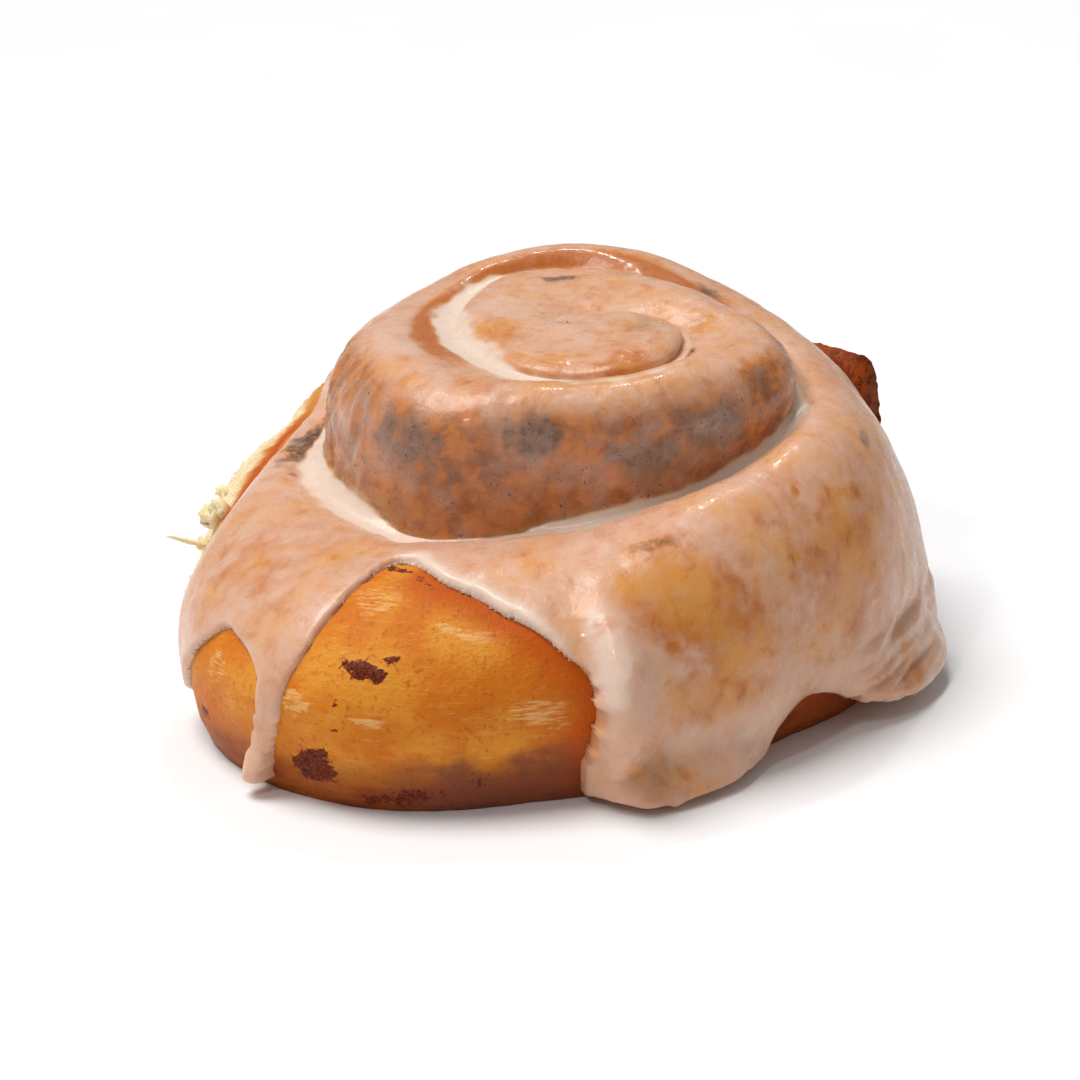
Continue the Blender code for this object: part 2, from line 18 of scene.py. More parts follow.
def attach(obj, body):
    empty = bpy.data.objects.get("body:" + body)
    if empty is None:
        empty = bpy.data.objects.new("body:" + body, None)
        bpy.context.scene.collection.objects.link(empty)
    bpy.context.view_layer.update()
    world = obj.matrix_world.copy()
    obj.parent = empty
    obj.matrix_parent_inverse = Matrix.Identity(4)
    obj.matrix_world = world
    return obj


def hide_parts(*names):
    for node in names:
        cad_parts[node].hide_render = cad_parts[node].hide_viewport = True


MM = 0.001

# Spiral of the strip
EYE_Y = 7.0
EYE_HEIGHT = 58.2
START_TURN = -0.5
SLIT_START_TURN = -0.13
TAIL_TURN = 2.93
FREE_TURN = 1.93
ICING_END_TURN = 2.79
FINE_TURN = 1.50

# Seam between neighbouring laps, and the ribbon of filling in it
SLIT_FLOOR = 3.0
FILLING_HALF_WIDTH = 0.6
FILLING_CLEARANCE = 0.35
FILLING_DROP = 0.5

# Roundness of the lap profile
ROUND_HANDLE = 0.55
VALLEY_HANDLE = 2.8
VALLEY_SHARE = 0.4
SEAM_SHARE = 0.12
HALF = 0.5
FOOT_LEAN = 0.6
FOOT_RISE = 0.35
WALL_FREES = (1.90, 1.98)
TUCK_INSET = 0.8
FOOT_INSET = 2.4

# Slow unevenness of the whole roll
WARP_SIZE = 1.1
WARP_LENGTH = 21.0
WARP_RISE = 14.0
WARP_SHIFTS = ((11.3, 0.0, 0.0), (0.0, 27.1, 0.0), (0.0, 0.0, 41.7))
FRACTAL_LOSS = 1.0
FRACTAL_STEP = 2.0

# Rows in a turn, and columns across a lap
ROWS_PER_TURN = 480
COIL_INNER_COLUMNS = 10
COIL_WALL_COLUMNS = 24
FREE_INNER_COLUMNS = 14
FREE_WALL_COLUMNS = 76
CELL = 0.8
WALL_SAMPLES = 60
HIDDEN_INNER_COLUMNS = 4
HIDDEN_WALL_COLUMNS = 7
CRUST_WALL_COLUMNS = 80
CRUST_BASE_SHARES = (1.03, 1.06, 1.09, 1.13, 1.2)
ICING_BASE_SHARES = (1.012, 1.025, 1.038, 1.05, 1.06, 1.075, 1.09, 1.10, 1.12)
ICING_MARGIN = 0.01
TINY = 1e-6
TINY_LENGTH = 1e-9
SEAM_MARGIN = 0.03
RIBBON_STEP = 1 / 240
RIBBON_LEVELS = 6
SEAM_STEP = 0.002
LENGTH_STEP = 0.005
SHARE_STEP = 0.01
SLOPE_STEPS = 100

# turn, seam radius, seam height, crown radius, crown height, widest radius, widest height
STATIONS = (
    (-0.50, 0.0, 58.2, 0.0, 58.2, 0.0, 58.2),
    (-0.25, 4.5, 57.6, 2.6, 58.6, 3.9, 58.1),
    (-0.12, 8.5, 57.2, 5.2, 58.8, 7.3, 58.0),
    (0.00, 19.0, 56.0, 12.5, 58.4, 17.6, 57.1),
    (0.12, 21.0, 54.6, 13.5, 57.6, 19.2, 56.0),
    (0.25, 18.2, 54.2, 10.5, 57.0, 16.2, 55.6),
    (0.40, 15.2, 54.5, 9.0, 57.2, 13.4, 55.9),
    (0.50, 17.0, 55.0, 11.0, 57.7, 15.2, 56.4),
    (0.62, 23.7, 56.4, 15.5, 59.0, 21.8, 57.8),
    (0.72, 28.0, 58.4, 19.0, 60.4, 26.0, 59.6),
    (0.85, 27.0, 57.6, 20.5, 60.8, 25.8, 59.4),
    (0.95, 30.0, 55.4, 24.0, 60.0, 29.2, 57.6),
    (1.03, 38.0, 46.0, 30.0, 57.6, 37.0, 52.0),
    (1.12, 30.0, 36.5, 24.5, 56.6, 30.6, 50.0),
    (1.25, 27.5, 33.0, 21.8, 55.6, 27.6, 49.5),
    (1.37, 37.0, 30.0, 24.5, 56.0, 34.0, 47.0),
    (1.50, 40.0, 34.0, 27.4, 56.7, 36.9, 44.0),
    (1.62, 42.5, 38.0, 29.6, 58.4, 39.2, 47.0),
    (1.75, 43.5, 41.0, 34.0, 61.8, 41.5, 51.0),
    (1.87, 46.5, 40.0, 37.0, 56.4, 45.5, 46.6),
    (1.93, 50.5, 38.0, 37.3, 53.0, 48.8, 41.0),
    (1.965, 53.0, 22.0, 38.8, 50.2, 52.3, 26.0),
    (2.00, 56.0, 6.0, 41.5, 47.6, 57.4, 14.5),
    (2.12, 49.5, 6.0, 40.0, 42.5, 52.5, 15.0),
    (2.25, 56.5, 5.5, 36.5, 35.2, 59.0, 15.0),
    (2.34, 68.2, 5.0, 42.3, 33.4, 70.0, 14.4),
    (2.37, 69.4, 5.0, 44.0, 32.5, 70.9, 14.0),
    (2.41, 68.0, 4.5, 44.8, 32.8, 69.0, 12.0),
    (2.44, 64.3, 5.5, 45.5, 33.2, 65.1, 13.0),
    (2.50, 59.8, 6.0, 45.5, 34.4, 61.3, 13.5),
    (2.58, 59.4, 6.0, 47.0, 36.2, 61.6, 18.5),
    (2.64, 61.0, 6.0, 53.0, 39.3, 64.2, 25.0),
    (2.75, 58.0, 6.0, 52.0, 41.5, 61.0, 24.0),
    (2.86, 57.5, 6.0, 53.5, 45.0, 60.5, 31.0),
    (2.93, 57.0, 6.0, 55.5, 46.5, 60.0, 36.0),
)

# turn, share of the outer wall that the icing covers
REACH = (
    (1.79, 1.00), (1.80, 0.70), (1.93, 0.70), (1.96, 0.92), (1.985, 1.04),
    (2.05, 1.06), (2.09, 0.98), (2.115, 0.92), (2.14, 0.99), (2.155, 1.10),
    (2.2385, 1.10), (2.2395, 0.73), (2.2415, 0.65), (2.245, 0.60), (2.251, 0.55),
    (2.263, 0.45), (2.280, 0.35), (2.298, 0.27), (2.321, 0.17), (2.333, 0.12),
    (2.342, 0.13), (2.346, 0.27), (2.3475, 0.42), (2.349, 0.53), (2.351, 0.62),
    (2.3540, 0.70), (2.3550, 1.06), (2.3645, 1.06), (2.3652, 0.72), (2.368, 0.66),
    (2.378, 0.60), (2.396, 0.55), (2.406, 0.62), (2.414, 0.72), (2.422, 0.83),
    (2.430, 0.94), (2.440, 0.98), (2.446, 0.92), (2.450, 0.78), (2.454, 0.61),
    (2.459, 0.45), (2.466, 0.31), (2.476, 0.21), (2.490, 0.14), (2.508, 0.09),
    (2.54, 0.06), (2.58, 0.08), (2.62, 0.14), (2.66, 0.32), (2.69, 0.50),
    (2.73, 0.44), (2.77, 0.34), (2.79, 0.14),
)

# Edges that lean: middle turn, half width in turns, shares where the lean starts and ends, its turns
LEANS = (
    (2.367, 0.018, 0.70, 1.06, 0.0085),
    (2.243, 0.012, 0.75, 1.04, 0.0065),
)

# How the edge wavers, and how near a vertex must lie to be moved onto it
LEAN_FADE = 1.6
EDGE_WAVER = 0.012
EDGE_WAVER_STEPS = 60
END_WAVER = 0.006
END_WAVER_STEPS = 30
DEEP_INSIDE = 10.0
SNAP_INSIDE = 0.55
SNAP_OUTSIDE = 0.75
EDGE_STEPS = (0.0, 0.25, 0.5, 0.75)

# turn, added thickness of the icing at its lower edge
EDGE_SWELL = (
    (1.70, 0.0), (1.93, 0.0), (1.98, 4.5), (2.02, 8.0), (2.05, 7.5),
    (2.08, 4.5), (2.10, 2.0), (2.12, 0.8), (2.15, 3.0), (2.18, 7.0),
    (2.222, 8.5), (2.233, 5.5), (2.2385, 3.0), (2.25, 0.5), (2.353, 0.3),
    (2.362, 2.6), (2.3675, 3.6), (2.373, 2.6), (2.382, 0.3), (2.79, 0.2),
)

# turn, thickness of the icing at its lower edge, and whiteness of that edge
LIPS = (
    (1.79, 0.6, 0.1), (1.95, 0.8, 0.2), (2.10, 0.7, 0.1), (2.14, 1.0, 0.0),
    (2.235, 1.1, 0.0), (2.240, 0.45, 0.0), (2.248, 0.75, 0.2), (2.27, 1.25, 0.5),
    (2.33, 1.15, 0.5), (2.350, 0.85, 0.1), (2.378, 0.85, 0.15), (2.44, 0.9, 0.4),
    (2.48, 0.6, 0.3), (2.79, 0.5, 0.1),
)

# turn of a seam, width of the icing that has pooled over it
POOLS = (
    (-0.50, 0.0), (-0.05, 0.6), (0.06, 0.8), (0.16, 2.2), (0.30, 2.6),
    (0.40, 3.6), (0.52, 4.6), (0.66, 3.4), (0.72, 1.0), (0.95, 0.8),
    (1.02, 2.0), (1.10, 4.4), (1.20, 4.8), (1.26, 3.6), (1.30, 1.6),
    (1.37, 2.4), (1.43, 5.2), (1.49, 4.0), (1.54, 1.2), (1.93, 1.2),
)

# Marks on the icing: turn, share, half length, half width, change of cover, cloud, darkness
ICING_MARKS = (
    (0.166, 0.60, 6.0, 3.2, -0.42, 0.0, 0.0),
    (0.298, 0.48, 6.0, 2.0, -0.28, 0.0, 0.0),
    (0.484, 0.00, 6.0, 3.5, -0.30, 0.0, 0.0),
    (0.600, 0.00, 9.0, 3.0, 0.18, 0.0, 0.0),
    (0.028, 0.00, 6.0, 2.4, -0.12, 0.6, 0.05),
    (0.946, -0.62, 5.0, 1.3, -0.40, 0.1, 0.20),
    (0.740, 0.02, 5.6, 1.3, -0.35, 0.3, 0.75),
    (0.900, 0.05, 8.0, 2.5, 0.15, 0.0, 0.0),
    (1.058, -0.88, 3.0, 1.2, -0.30, 0.2, 0.75),
    (0.985, -0.45, 4.0, 2.0, -0.30, 0.2, 0.20),
    (1.054, 0.65, 2.0, 2.4, -0.20, 0.2, 0.50),
    (1.470, 0.00, 14.0, 4.0, 0.14, 0.0, 0.0),
    (1.290, 0.10, 12.0, 2.6, 0.06, 0.0, 0.0),
    (1.25, 0.02, 22.0, 3.0, -0.22, 0.1, 0.0),
    (1.875, -0.12, 4.2, 2.2, -0.25, 0.6, 0.55),
    (1.85, -0.55, 7.0, 2.2, -0.45, 0.0, 0.10),
    (1.067, 0.30, 5.5, 3.6, -0.40, 0.1, 0.12),
    (1.02, 0.75, 3.0, 6.0, -0.15, 0.5, 0.35),
    (1.402, 0.15, 1.3, 0.9, -0.45, 0.0, 0.05),
    (1.383, 0.41, 7.5, 4.6, -0.12, 0.75, 0.05),
    (1.275, 0.34, 7.0, 3.4, -0.15, 0.85, 0.25),
    (1.183, 0.54, 8.0, 4.2, -0.12, 0.85, 0.15),
    (1.117, 0.46, 6.5, 4.0, -0.10, 0.85, 0.10),
    (1.44, 0.50, 4.0, 8.0, 0.10, 0.45, 0.0),
    (2.200, 0.17, 4.6, 1.3, -0.30, 0.2, 0.45),
    (2.192, 0.39, 14.0, 6.5, -0.34, 0.0, 0.0),
    (2.167, 0.56, 10.0, 5.0, -0.28, 0.0, 0.0),
    (2.185, 0.72, 11.0, 4.5, -0.20, 0.0, 0.0),
    (2.092, 0.45, 11.0, 11.0, -0.32, 0.0, 0.0),
    (2.235, 0.50, 3.5, 9.0, 0.22, 0.0, 0.0),
    (2.408, 0.30, 9.0, 6.0, -0.20, 0.0, 0.0),
    (2.385, 0.10, 7.0, 5.0, -0.16, 0.0, 0.0),
    (2.533, -0.50, 14.0, 3.6, -0.40, 0.3, 0.75),
    (2.44, -0.55, 6.0, 2.0, -0.20, 0.3, 0.45),
    (2.033, 0.17, 1.7, 1.7, -0.20, 0.9, 0.15),
    (2.108, 0.13, 1.0, 1.0, -0.55, 0.0, 0.10),
    (2.07, 0.25, 2.0, 1.4, -0.30, 0.1, 0.20),
    (2.058, 0.93, 9.0, 5.0, -0.22, 0.1, 0.0),
    (2.192, 1.00, 14.0, 4.0, -0.10, 0.35, 0.10),
)

# Marks on the bare crust: turn, share, half length, half width, darkness, rise
CRUST_MARKS = (
    (2.344, 0.95, 4.3, 3.7, 1.0, 0.6),
    (2.327, 0.585, 5.4, 1.7, 1.0, 0.35),
    (2.318, 0.545, 2.2, 0.8, 0.8, 0.2),
    (2.333, 0.71, 0.9, 0.6, 0.8, 0.1),
    (2.334, 0.80, 0.6, 0.4, 0.7, 0.1),
    (2.335, 0.16, 2.4, 1.0, 0.8, 0.1),
    (2.322, 0.205, 0.9, 0.6, 0.7, 0.1),
    (2.316, 0.235, 0.7, 0.5, 0.7, 0.1),
    (2.327, 0.245, 0.5, 0.4, 0.7, 0.1),
    (2.311, 0.250, 0.7, 0.5, 0.7, 0.1),
    (2.405, 0.92, 2.2, 1.6, 0.6, 0.1),
    (2.425, 1.02, 2.0, 1.5, 0.7, 0.1),
    # The last two marks are painted shade, not burnt crust: they darken the front foot where the crust
    # tucks under to the floor.
    (2.312, 1.05, 8.0, 1.7, 0.8, 0.0),
    (2.285, 0.98, 5.0, 1.8, 0.3, 0.0),
)

# Pale streaks on the bare crust: turn, share, half length, half width, strength
PALE_MARKS = (
    (2.289, 0.45, 11.0, 1.3, 1.0),
    (2.300, 0.42, 5.0, 0.8, 1.0),
    (2.321, 0.76, 5.5, 1.1, 0.9),
    (2.263, 0.74, 9.0, 2.6, 0.7),
    (2.348, 0.72, 3.6, 1.9, 0.9),
    (2.333, 0.33, 4.5, 3.6, 0.6),
    (2.395, 0.70, 3.0, 3.0, 0.6),
)

# Tufts of torn crumb: how they are made, and the large ones: turn, share, lean, length, radius
TUFT_SEED = 7
TUFT_COUNT = 60
TUFT_RINGS = 9
TUFT_CORNERS = 12
TUFT_AXIS = (0.3, 0.5, 0.8)
TUFT_SHIFT = 50.0
TUFT_NOISE_LENGTH = 0.8
TUFT_UNEVENNESS = 0.5
TUFT_TURNS = (2.48, 2.71)
TUFT_MARGIN = 0.23
TUFT_LOWEST = 0.95
TUFT_RADII = (0.4, 1.1)
TUFT_LENGTHS = (1.8, 2.8)
TUFT_SINK = 1.1
TUFT_LEANS = ((-0.6, 0.6), (-0.6, 0.6), (-0.4, 0.6))
LONG_TUFTS = (
    (2.478, 0.50, (-0.3, 0.0, -0.1), 6.0, 0.45),
    (2.482, 0.40, (-0.1, 0.1, 0.4), 4.2, 2.0),
    (2.480, 0.34, (-0.2, 0.2, 0.6), 3.4, 1.4),
)

# Icing: thickness over the dough, how its edge is rounded, and how far the edge dips into the dough
ICING_HEIGHT = 1.4
LIP_WIDTH = 0.9
LIP_SPREAD = 3.0
LIP_DIP = 0.2
SWELL_SPREAD = 7.0
LEAST_HEIGHT = 0.35
LEAST_LIP = 0.6
FLOOR_CLEARANCE = 0.15
LOW_ZONE = 12.0
POOL_ROUNDS = 60
POOL_STRENGTH = 0.9
POOL_FADE = (1.0, 0.3)
POOL_FROM_EDGE = (1.0, 4.0)
POOL_COLOUR_FADE = (1.0, 0.55)
POOL_SETS_IN = (0.3, 1.5)
LEAST_POOL = 0.1
POOL_WAVER = 0.35
POOL_WAVER_LENGTH = 3.0
DIRECTION_ROUNDS = 25
RIM_ROUNDS = 12
RIM_SMOOTHING = 0.5
FINE_BANDS = (1.7, 0.7)
SAME_PLACE = 0.01
WALL_LENGTH = 60.0
MIDDLE_RADIUS = 58.0

# Stretches of the strip that look different: where each sets in and ends, in turns or in shares
DRUM = (0.93, 1.02, 1.52, 1.62)
DRUM_WALL = (0.12, 0.32)
DRUM_FOOT = (0.62, 0.85)
RIM = (1.38, 1.46, 1.86, 1.95)
RIM_SLOPE = (-0.75, -0.55, -0.25, -0.08)
WRAP = (1.95, 2.00)
WRAP_WALL = (0.05, 0.25)
DRIP = (2.34, 2.35, 2.38, 2.39)
DRIP_TIP = (1.04, 0.86)
DRUM_END = (1.41, 1.44, 1.52, 1.56)
DRUM_END_WALL = (0.15, 0.30, 0.80, 0.95)
FRILL = (1.96, 1.99, 2.07, 2.10)
FRILL_HEM = (0.74, 0.82)
TORN = (2.443, 2.452, 2.68, 2.74)
TORN_WALL = (0.03, 0.10)
TORN_SKIN = (2.62, 2.56)
TAIL = (2.78, 2.88)
FOOT = (0.86, 1.04)
FILM = (2.235, 2.26, 2.30, 2.325)
FILM_WALL = (0.84, 1.0)
FLAKES = (2.29, 2.31, 2.33, 2.36)
FLAKES_WALL = (0.50, 0.15)
WINDOW_END = (2.34, 2.32)

# Outlines of marks
MARK_UNEVENNESS = 0.45
MARK_NOISE_LENGTH = 2.4
MARK_FADE = (0.55, 1.15)

# Relief of the icing: length, height and shift of its waves, and its runs, creases and folds,
# each told by the length of its waves along the strip and across it, and a shift
ICING_WAVES = ((7.0, 0.22, 0.0), (2.6, 0.09, 5.0), (0.9, 0.035, 8.0))
RELIEF_SETS_IN = (0.4, 3.0)
RUNS = (3.0, 18.0, 2.0)
RUNS_HEIGHT = 0.12
RUNS_SET_IN = (0.1, 0.3)
CREASES = (2.2, 14.0, 6.0)
CREASE_HEIGHT = 0.5
CREASE_DEPTH = 1.5
FOLDS = (14.0, 3.0, 11.0)
FOLD_HEIGHT = 0.6
FOLD_DEPTH = 2.6

# Cover of the icing: how white it is in general, and what changes that
COVER = 0.60
WALL_LOSS = 0.36
WRAP_LOSS = 0.05
RIM_LOSS = 0.70
DEEP_GAIN = 0.20
DEEP = (1.5, 2.4)
COVER_WAVES = ((11.0, 0.15, 2.0), (4.0, 0.10, 9.0))
LIP_REACH = 3.0
LEAST_COVER = 0.02
CLOUD_ON_WALL = 0.45
CLOUD_LENGTH = 6.5
CLOUD_SPAN = (-0.35, 0.45)
CLOUD_LOWEST = (0.85, 0.55)
TAN_LENGTH = 12.0
TAN_SPAN = (-0.3, 0.4)
DARK_ON_WALL = 0.05
# Painted shade at the foot of the drum wall, next to the groove below it
SHADE_AT_DRUM_FOOT = 0.08

# Colour zones of the dough by the distance from the icing, and how their edges waver
BARE_SETS_IN = (0.0, 1.2)
SKIN_WIDTH = (4.5, 2.0)
SKIN_WAVER = 1.2
SKIN_WAVER_LENGTH = 3.0
TORN_SKIN_WIDTH = (6.0, 2.0)
BROWNED_WIDTH = (8.0, 1.0)
BROWNING = 0.92
FILM_WAVER = 0.10
FILM_WAVER_LENGTH = 6.0
TAIL_WAVER = 0.03
TAIL_WAVER_LENGTH = 9.0

# Relief of the bare crust and of the torn crumb
CRUST_WAVES = 0.16
CRUST_WAVE_LENGTH = 4.0
GROOVES = (5.0, 1.5, 3.0)
CRUST_GROOVES = 0.10
FLAKE_GROOVES = 0.45
SHAGGY_WAVES = ((5.0, 4, 0.6, 4.0), (1.4, 3, 0.3, 9.0))
TORN_DEPTH = 0.2
TAIL_WAVES = 0.4
TAIL_WAVE_LENGTH = 2.2
BLISTER_RISE = 0.6
BLISTER_WAVES = 0.8
BLISTER_LENGTH = 1.1


# Reading tables and shaping the lap

def slopes(steps, values):
    """Slopes at the knots of a table, level wherever the values turn back."""
    gaps = np.diff(steps)[:, None]
    rises = np.diff(values, axis=0) / gaps
    result = np.zeros_like(values)
    result[0] = rises[0]
    result[-1] = rises[-1]
    before = 2 * gaps[1:] + gaps[:-1]
    after = gaps[1:] + 2 * gaps[:-1]
    same_way = rises[:-1] * rises[1:] > 0
    first = np.where(same_way, rises[:-1], 1.0)
    second = np.where(same_way, rises[1:], 1.0)
    mean = (before + after) / (before / first + after / second)
    result[1:-1] = np.where(same_way, mean, 0.0)
    return result


def read_table(table, turns):
    """Smooth values of a table at the given turns, one row for each turn."""
    table = np.array(table, float)
    steps = table[:, 0]
    values = table[:, 1:]
    tangents = slopes(steps, values)
    turns = np.clip(np.asarray(turns, float), steps[0], steps[-1])
    cell = np.clip(np.searchsorted(steps, turns, side="right") - 1, 0, len(steps) - 2)
    width = (steps[cell + 1] - steps[cell])[:, None]
    t = (turns - steps[cell])[:, None] / width
    start = (2 * t**3 - 3 * t**2 + 1) * values[cell] + (t**3 - 2 * t**2 + t) * width * tangents[cell]
    end = (3 * t**2 - 2 * t**3) * values[cell + 1] + (t**3 - t**2) * width * tangents[cell + 1]
    return start + end


def curve(start, first, second, end, share):
    """Points of cubic curves, one curve for each row of the four corners."""
    t = np.asarray(share)[None, :, None]
    corners = [np.asarray(corner)[:, None, :] for corner in (start, first, second, end)]
    weights = ((1 - t) ** 3, 3 * t * (1 - t) ** 2, 3 * t**2 * (1 - t), t**3)
    return sum(weight * corner for weight, corner in zip(weights, corners))


def ease(low, high, values):
    """0 below the low limit, 1 above the high one, and smooth between them."""
    t = np.clip((np.asarray(values, float) - low) / (high - low), 0.0, 1.0)
    return t * t * (3 - 2 * t)


def within(limits, values):
    """1 inside a stretch and 0 outside it, with soft ends."""
    start, full, waning, end = limits
    return ease(start, full, values) * ease(end, waning, values)


def lap_keys(turns):
    """Seam, crown and widest point of the lap, and the valley on its inner side."""
    keys = read_table(STATIONS, turns)
    inner = read_table(STATIONS, np.asarray(turns) - 1.0)
    near_eye = np.asarray(turns) < START_TURN + 1.0
    valley = np.where(near_eye[:, None], (0.0, EYE_HEIGHT), inner[:, 0:2])
    return valley, keys[:, 2:4], keys[:, 4:6], keys[:, 0:2]


def across(distance, rise):
    return np.stack([distance, rise], axis=-1)


def inner_slope(valley, crown, share):
    run = crown[:, 0] - valley[:, 0]
    level = np.zeros_like(run)
    handle = np.minimum(VALLEY_HANDLE, VALLEY_SHARE * run)
    first = valley + across(handle, level)
    second = crown - across(HALF * run, level)
    return curve(valley, first, second, crown, share)


def crest(crown, widest, share):
    run = widest - crown
    first = crown + across(ROUND_HANDLE * run[:, 0], 0 * run[:, 0])
    second = widest - across(0 * run[:, 0], ROUND_HANDLE * run[:, 1])
    return curve(crown, first, second, widest, share)


def outer_wall(widest, seam, free, share):
    drop = widest[:, 1] - seam[:, 1]
    first = widest - across(0 * drop, HALF * drop)
    reach = np.minimum(VALLEY_HANDLE, SEAM_SHARE * seam[:, 0])
    hidden = seam - across(reach, 0 * drop)
    shown = seam + across(FOOT_LEAN + 0 * drop, FOOT_RISE * drop)
    second = hidden * (1 - free)[:, None] + shown * free[:, None]
    return curve(widest, first, second, seam, share)


def lap_points(turns, inner_steps, shares):
    """Radius and height across the laps: inner slope, then the outer wall by share of its length."""
    turns = np.asarray(turns, float)
    valley, crown, widest, seam = lap_keys(turns)
    slope = inner_slope(valley, crown, inner_steps)
    fine = np.linspace(0, 1, WALL_SAMPLES)
    lower = outer_wall(widest, seam, ease(*WALL_FREES, turns), fine[1:])
    walls = np.concatenate([crest(crown, widest, fine), lower], axis=1)
    rows = []
    for row in range(len(turns)):
        wall = walls[row]
        lengths = np.concatenate([[0], np.cumsum(np.linalg.norm(np.diff(wall, axis=0), axis=1))])
        steps = np.asarray(shares) * lengths[-1]
        if turns[row] > FREE_TURN:
            foot = seam[row] - (TUCK_INSET, seam[row, 1] - SLIT_FLOOR)
            base = (seam[row, 0] - FOOT_INSET, 0.0)
            below = np.array([seam[row], foot, base])
            added = np.cumsum(np.linalg.norm(np.diff(below, axis=0), axis=1))
            wall = np.concatenate([wall, below[1:]])
            lengths = np.append(lengths, lengths[-1] + added)
        rows.append(np.stack([np.interp(steps, lengths, wall[:, axis]) for axis in range(2)], axis=-1))
    return np.concatenate([slope, np.array(rows)], axis=1)


def to_space(turns, profile):
    """Points in space of a profile told as radius and height."""
    angle = -2 * math.pi * np.asarray(turns)[:, None]
    radius = profile[..., 0]
    return np.stack([radius * np.cos(angle), EYE_Y + radius * np.sin(angle), profile[..., 1]], axis=-1)


def warp(points):
    """The slow unevenness of a hand-made roll, level on the ground."""
    moved = np.array(points, float)
    for index, point in enumerate(points):
        spot = Vector(point) / WARP_LENGTH
        push = [noise.noise(spot + Vector(shift)) * WARP_SIZE for shift in WARP_SHIFTS]
        hold = min(1.0, point[2] / WARP_RISE)
        moved[index] += (push[0], push[1], push[2] * hold)
    return moved


def waves(points, length, depth=1, shift=0.0):
    """Seeded noise from about -1 to 1 at every point, whose waves have the given length."""
    offset = Vector((shift, -shift, 2 * shift))
    if depth == 1:
        return np.array([noise.noise(Vector(point) / length + offset) for point in points])
    return np.array([
        noise.fractal(Vector(point) / length + offset, FRACTAL_LOSS, FRACTAL_STEP, depth)
        for point in points
    ])


def sum_of_waves(points, table):
    """Noises added up, each told by the length, height and shift of its waves."""
    return sum(height * waves(points, length, shift=shift) for length, height, shift in table)


# Sheets of points that carry their turn and share

class Sheet:
    """Points of a mesh under way with their marks, turn and share, and its faces."""

    def __init__(self):
        self.points = []
        self.marks = []
        self.faces = []

    def add(self, point, turn, share):
        self.points.append(tuple(point))
        self.marks.append((turn, share))
        return len(self.points) - 1

    def add_face(self, corners):
        kept = [corner for place, corner in enumerate(corners) if corner != corners[place - 1]]
        if len(kept) > 2:
            self.faces.append(kept)

    def close_loops(self, loops):
        """Faces around a tube of closed loops, and over its two ends."""
        for first, second in zip(loops[:-1], loops[1:]):
            for side in range(len(first)):
                self.add_face([first[side - 1], second[side - 1], second[side], first[side]])
        self.add_face(loops[0])
        self.add_face(loops[-1][::-1])

    def join_rows(self, first, second):
        """Faces between two rows of vertices, which may differ in number."""
        if len(first) == len(second):
            for column in range(len(first) - 1):
                self.add_face([first[column], second[column], second[column + 1], first[column + 1]])
            return
        here, there = 0, 0
        while here < len(first) - 1 or there < len(second) - 1:
            left_here = here < len(first) - 1
            left_there = there < len(second) - 1
            place_here = self.marks[first[here + 1]][1] if left_here else math.inf
            place_there = self.marks[second[there + 1]][1] if left_there else math.inf
            if place_here <= place_there:
                self.add_face([first[here], second[there], first[here + 1]])
                here += 1
            else:
                self.add_face([first[here], second[there], second[there + 1]])
                there += 1


def steps_of(count):
    return np.arange(1, count + 1) / count


def row_turns(last):
    count = int(round((last - START_TURN) * ROWS_PER_TURN))
    return START_TURN + np.arange(count + 1) / ROWS_PER_TURN


def add_rows(sheet, turns, inner_count, shares, seams):
    """Rows of points of the laps at the given turns; a valley shares the seam of the lap inside."""
    inner = steps_of(inner_count)
    places = np.concatenate([inner - 1.0, shares])
    spots = to_space(turns, lap_points(turns, inner, shares))
    seam_column = int(np.argmin(abs(places - 1.0)))
    rows = []
    for turn, points in zip(turns, spots):
        key = round((turn - 1.0) * ROWS_PER_TURN)
        valley = seams[key] if key in seams else seams["eye"]
        ids = [valley]
        last = len(places) if turn > FREE_TURN else seam_column + 1
        ids += [sheet.add(points[column], turn, places[column]) for column in range(last)]
        seams[round(turn * ROWS_PER_TURN)] = ids[seam_column + 1]
        rows.append(ids)
    return rows


# Icing: the sheet of dough under it, cut along its edge and lifted off

def covered(marks):
    """Distance in millimetres inside the edge of the icing, roughly, and below 0 outside it."""
    shares = marks[:, 1]
    turns = marks[:, 0].copy()
    for middle, half, start, end, lean in LEANS:
        near = 1 - ease(half, LEAN_FADE * half, abs(marks[:, 0] - middle))
        turns -= near * lean * ease(start, end, shares)
    reach = read_table(REACH, turns)[:, 0]
    wavering = np.array([noise.noise(Vector((turn * EDGE_WAVER_STEPS, 0, 0))) for turn in marks[:, 0]])
    down = (reach + EDGE_WAVER * wavering - shares) * WALL_LENGTH
    levels = np.stack([shares * END_WAVER_STEPS, shares * 0, shares * 0], axis=1)
    end = ICING_END_TURN + END_WAVER * waves(levels, 3.0)
    along = (end - turns) * 2 * math.pi * MIDDLE_RADIUS
    inside = np.minimum(down, along)
    return np.where(turns < REACH[0][0], DEEP_INSIDE, inside)


def edge_points(points, values, faces):
    """Points of the edge of the icing, where the value passes 0 between two corners."""
    result = []
    for face in faces:
        crossings = []
        for place in range(len(face)):
            first, second = face[place - 1], face[place]
            if (values[first] >= 0) != (values[second] >= 0):
                share = values[first] / (values[first] - values[second])
                crossings.append(points[first] * (1 - share) + points[second] * share)
        if len(crossings) == 2:
            for share in EDGE_STEPS:
                result.append(crossings[0] * (1 - share) + crossings[1] * share)
    return np.array(result)


def tree_of(points):
    tree = kdtree.KDTree(len(points))
    for index, point in enumerate(points):
        tree.insert(point, index)
    tree.balance()
    return tree


def distances(points, tree):
    return np.array([tree.find(point)[2] for point in points])


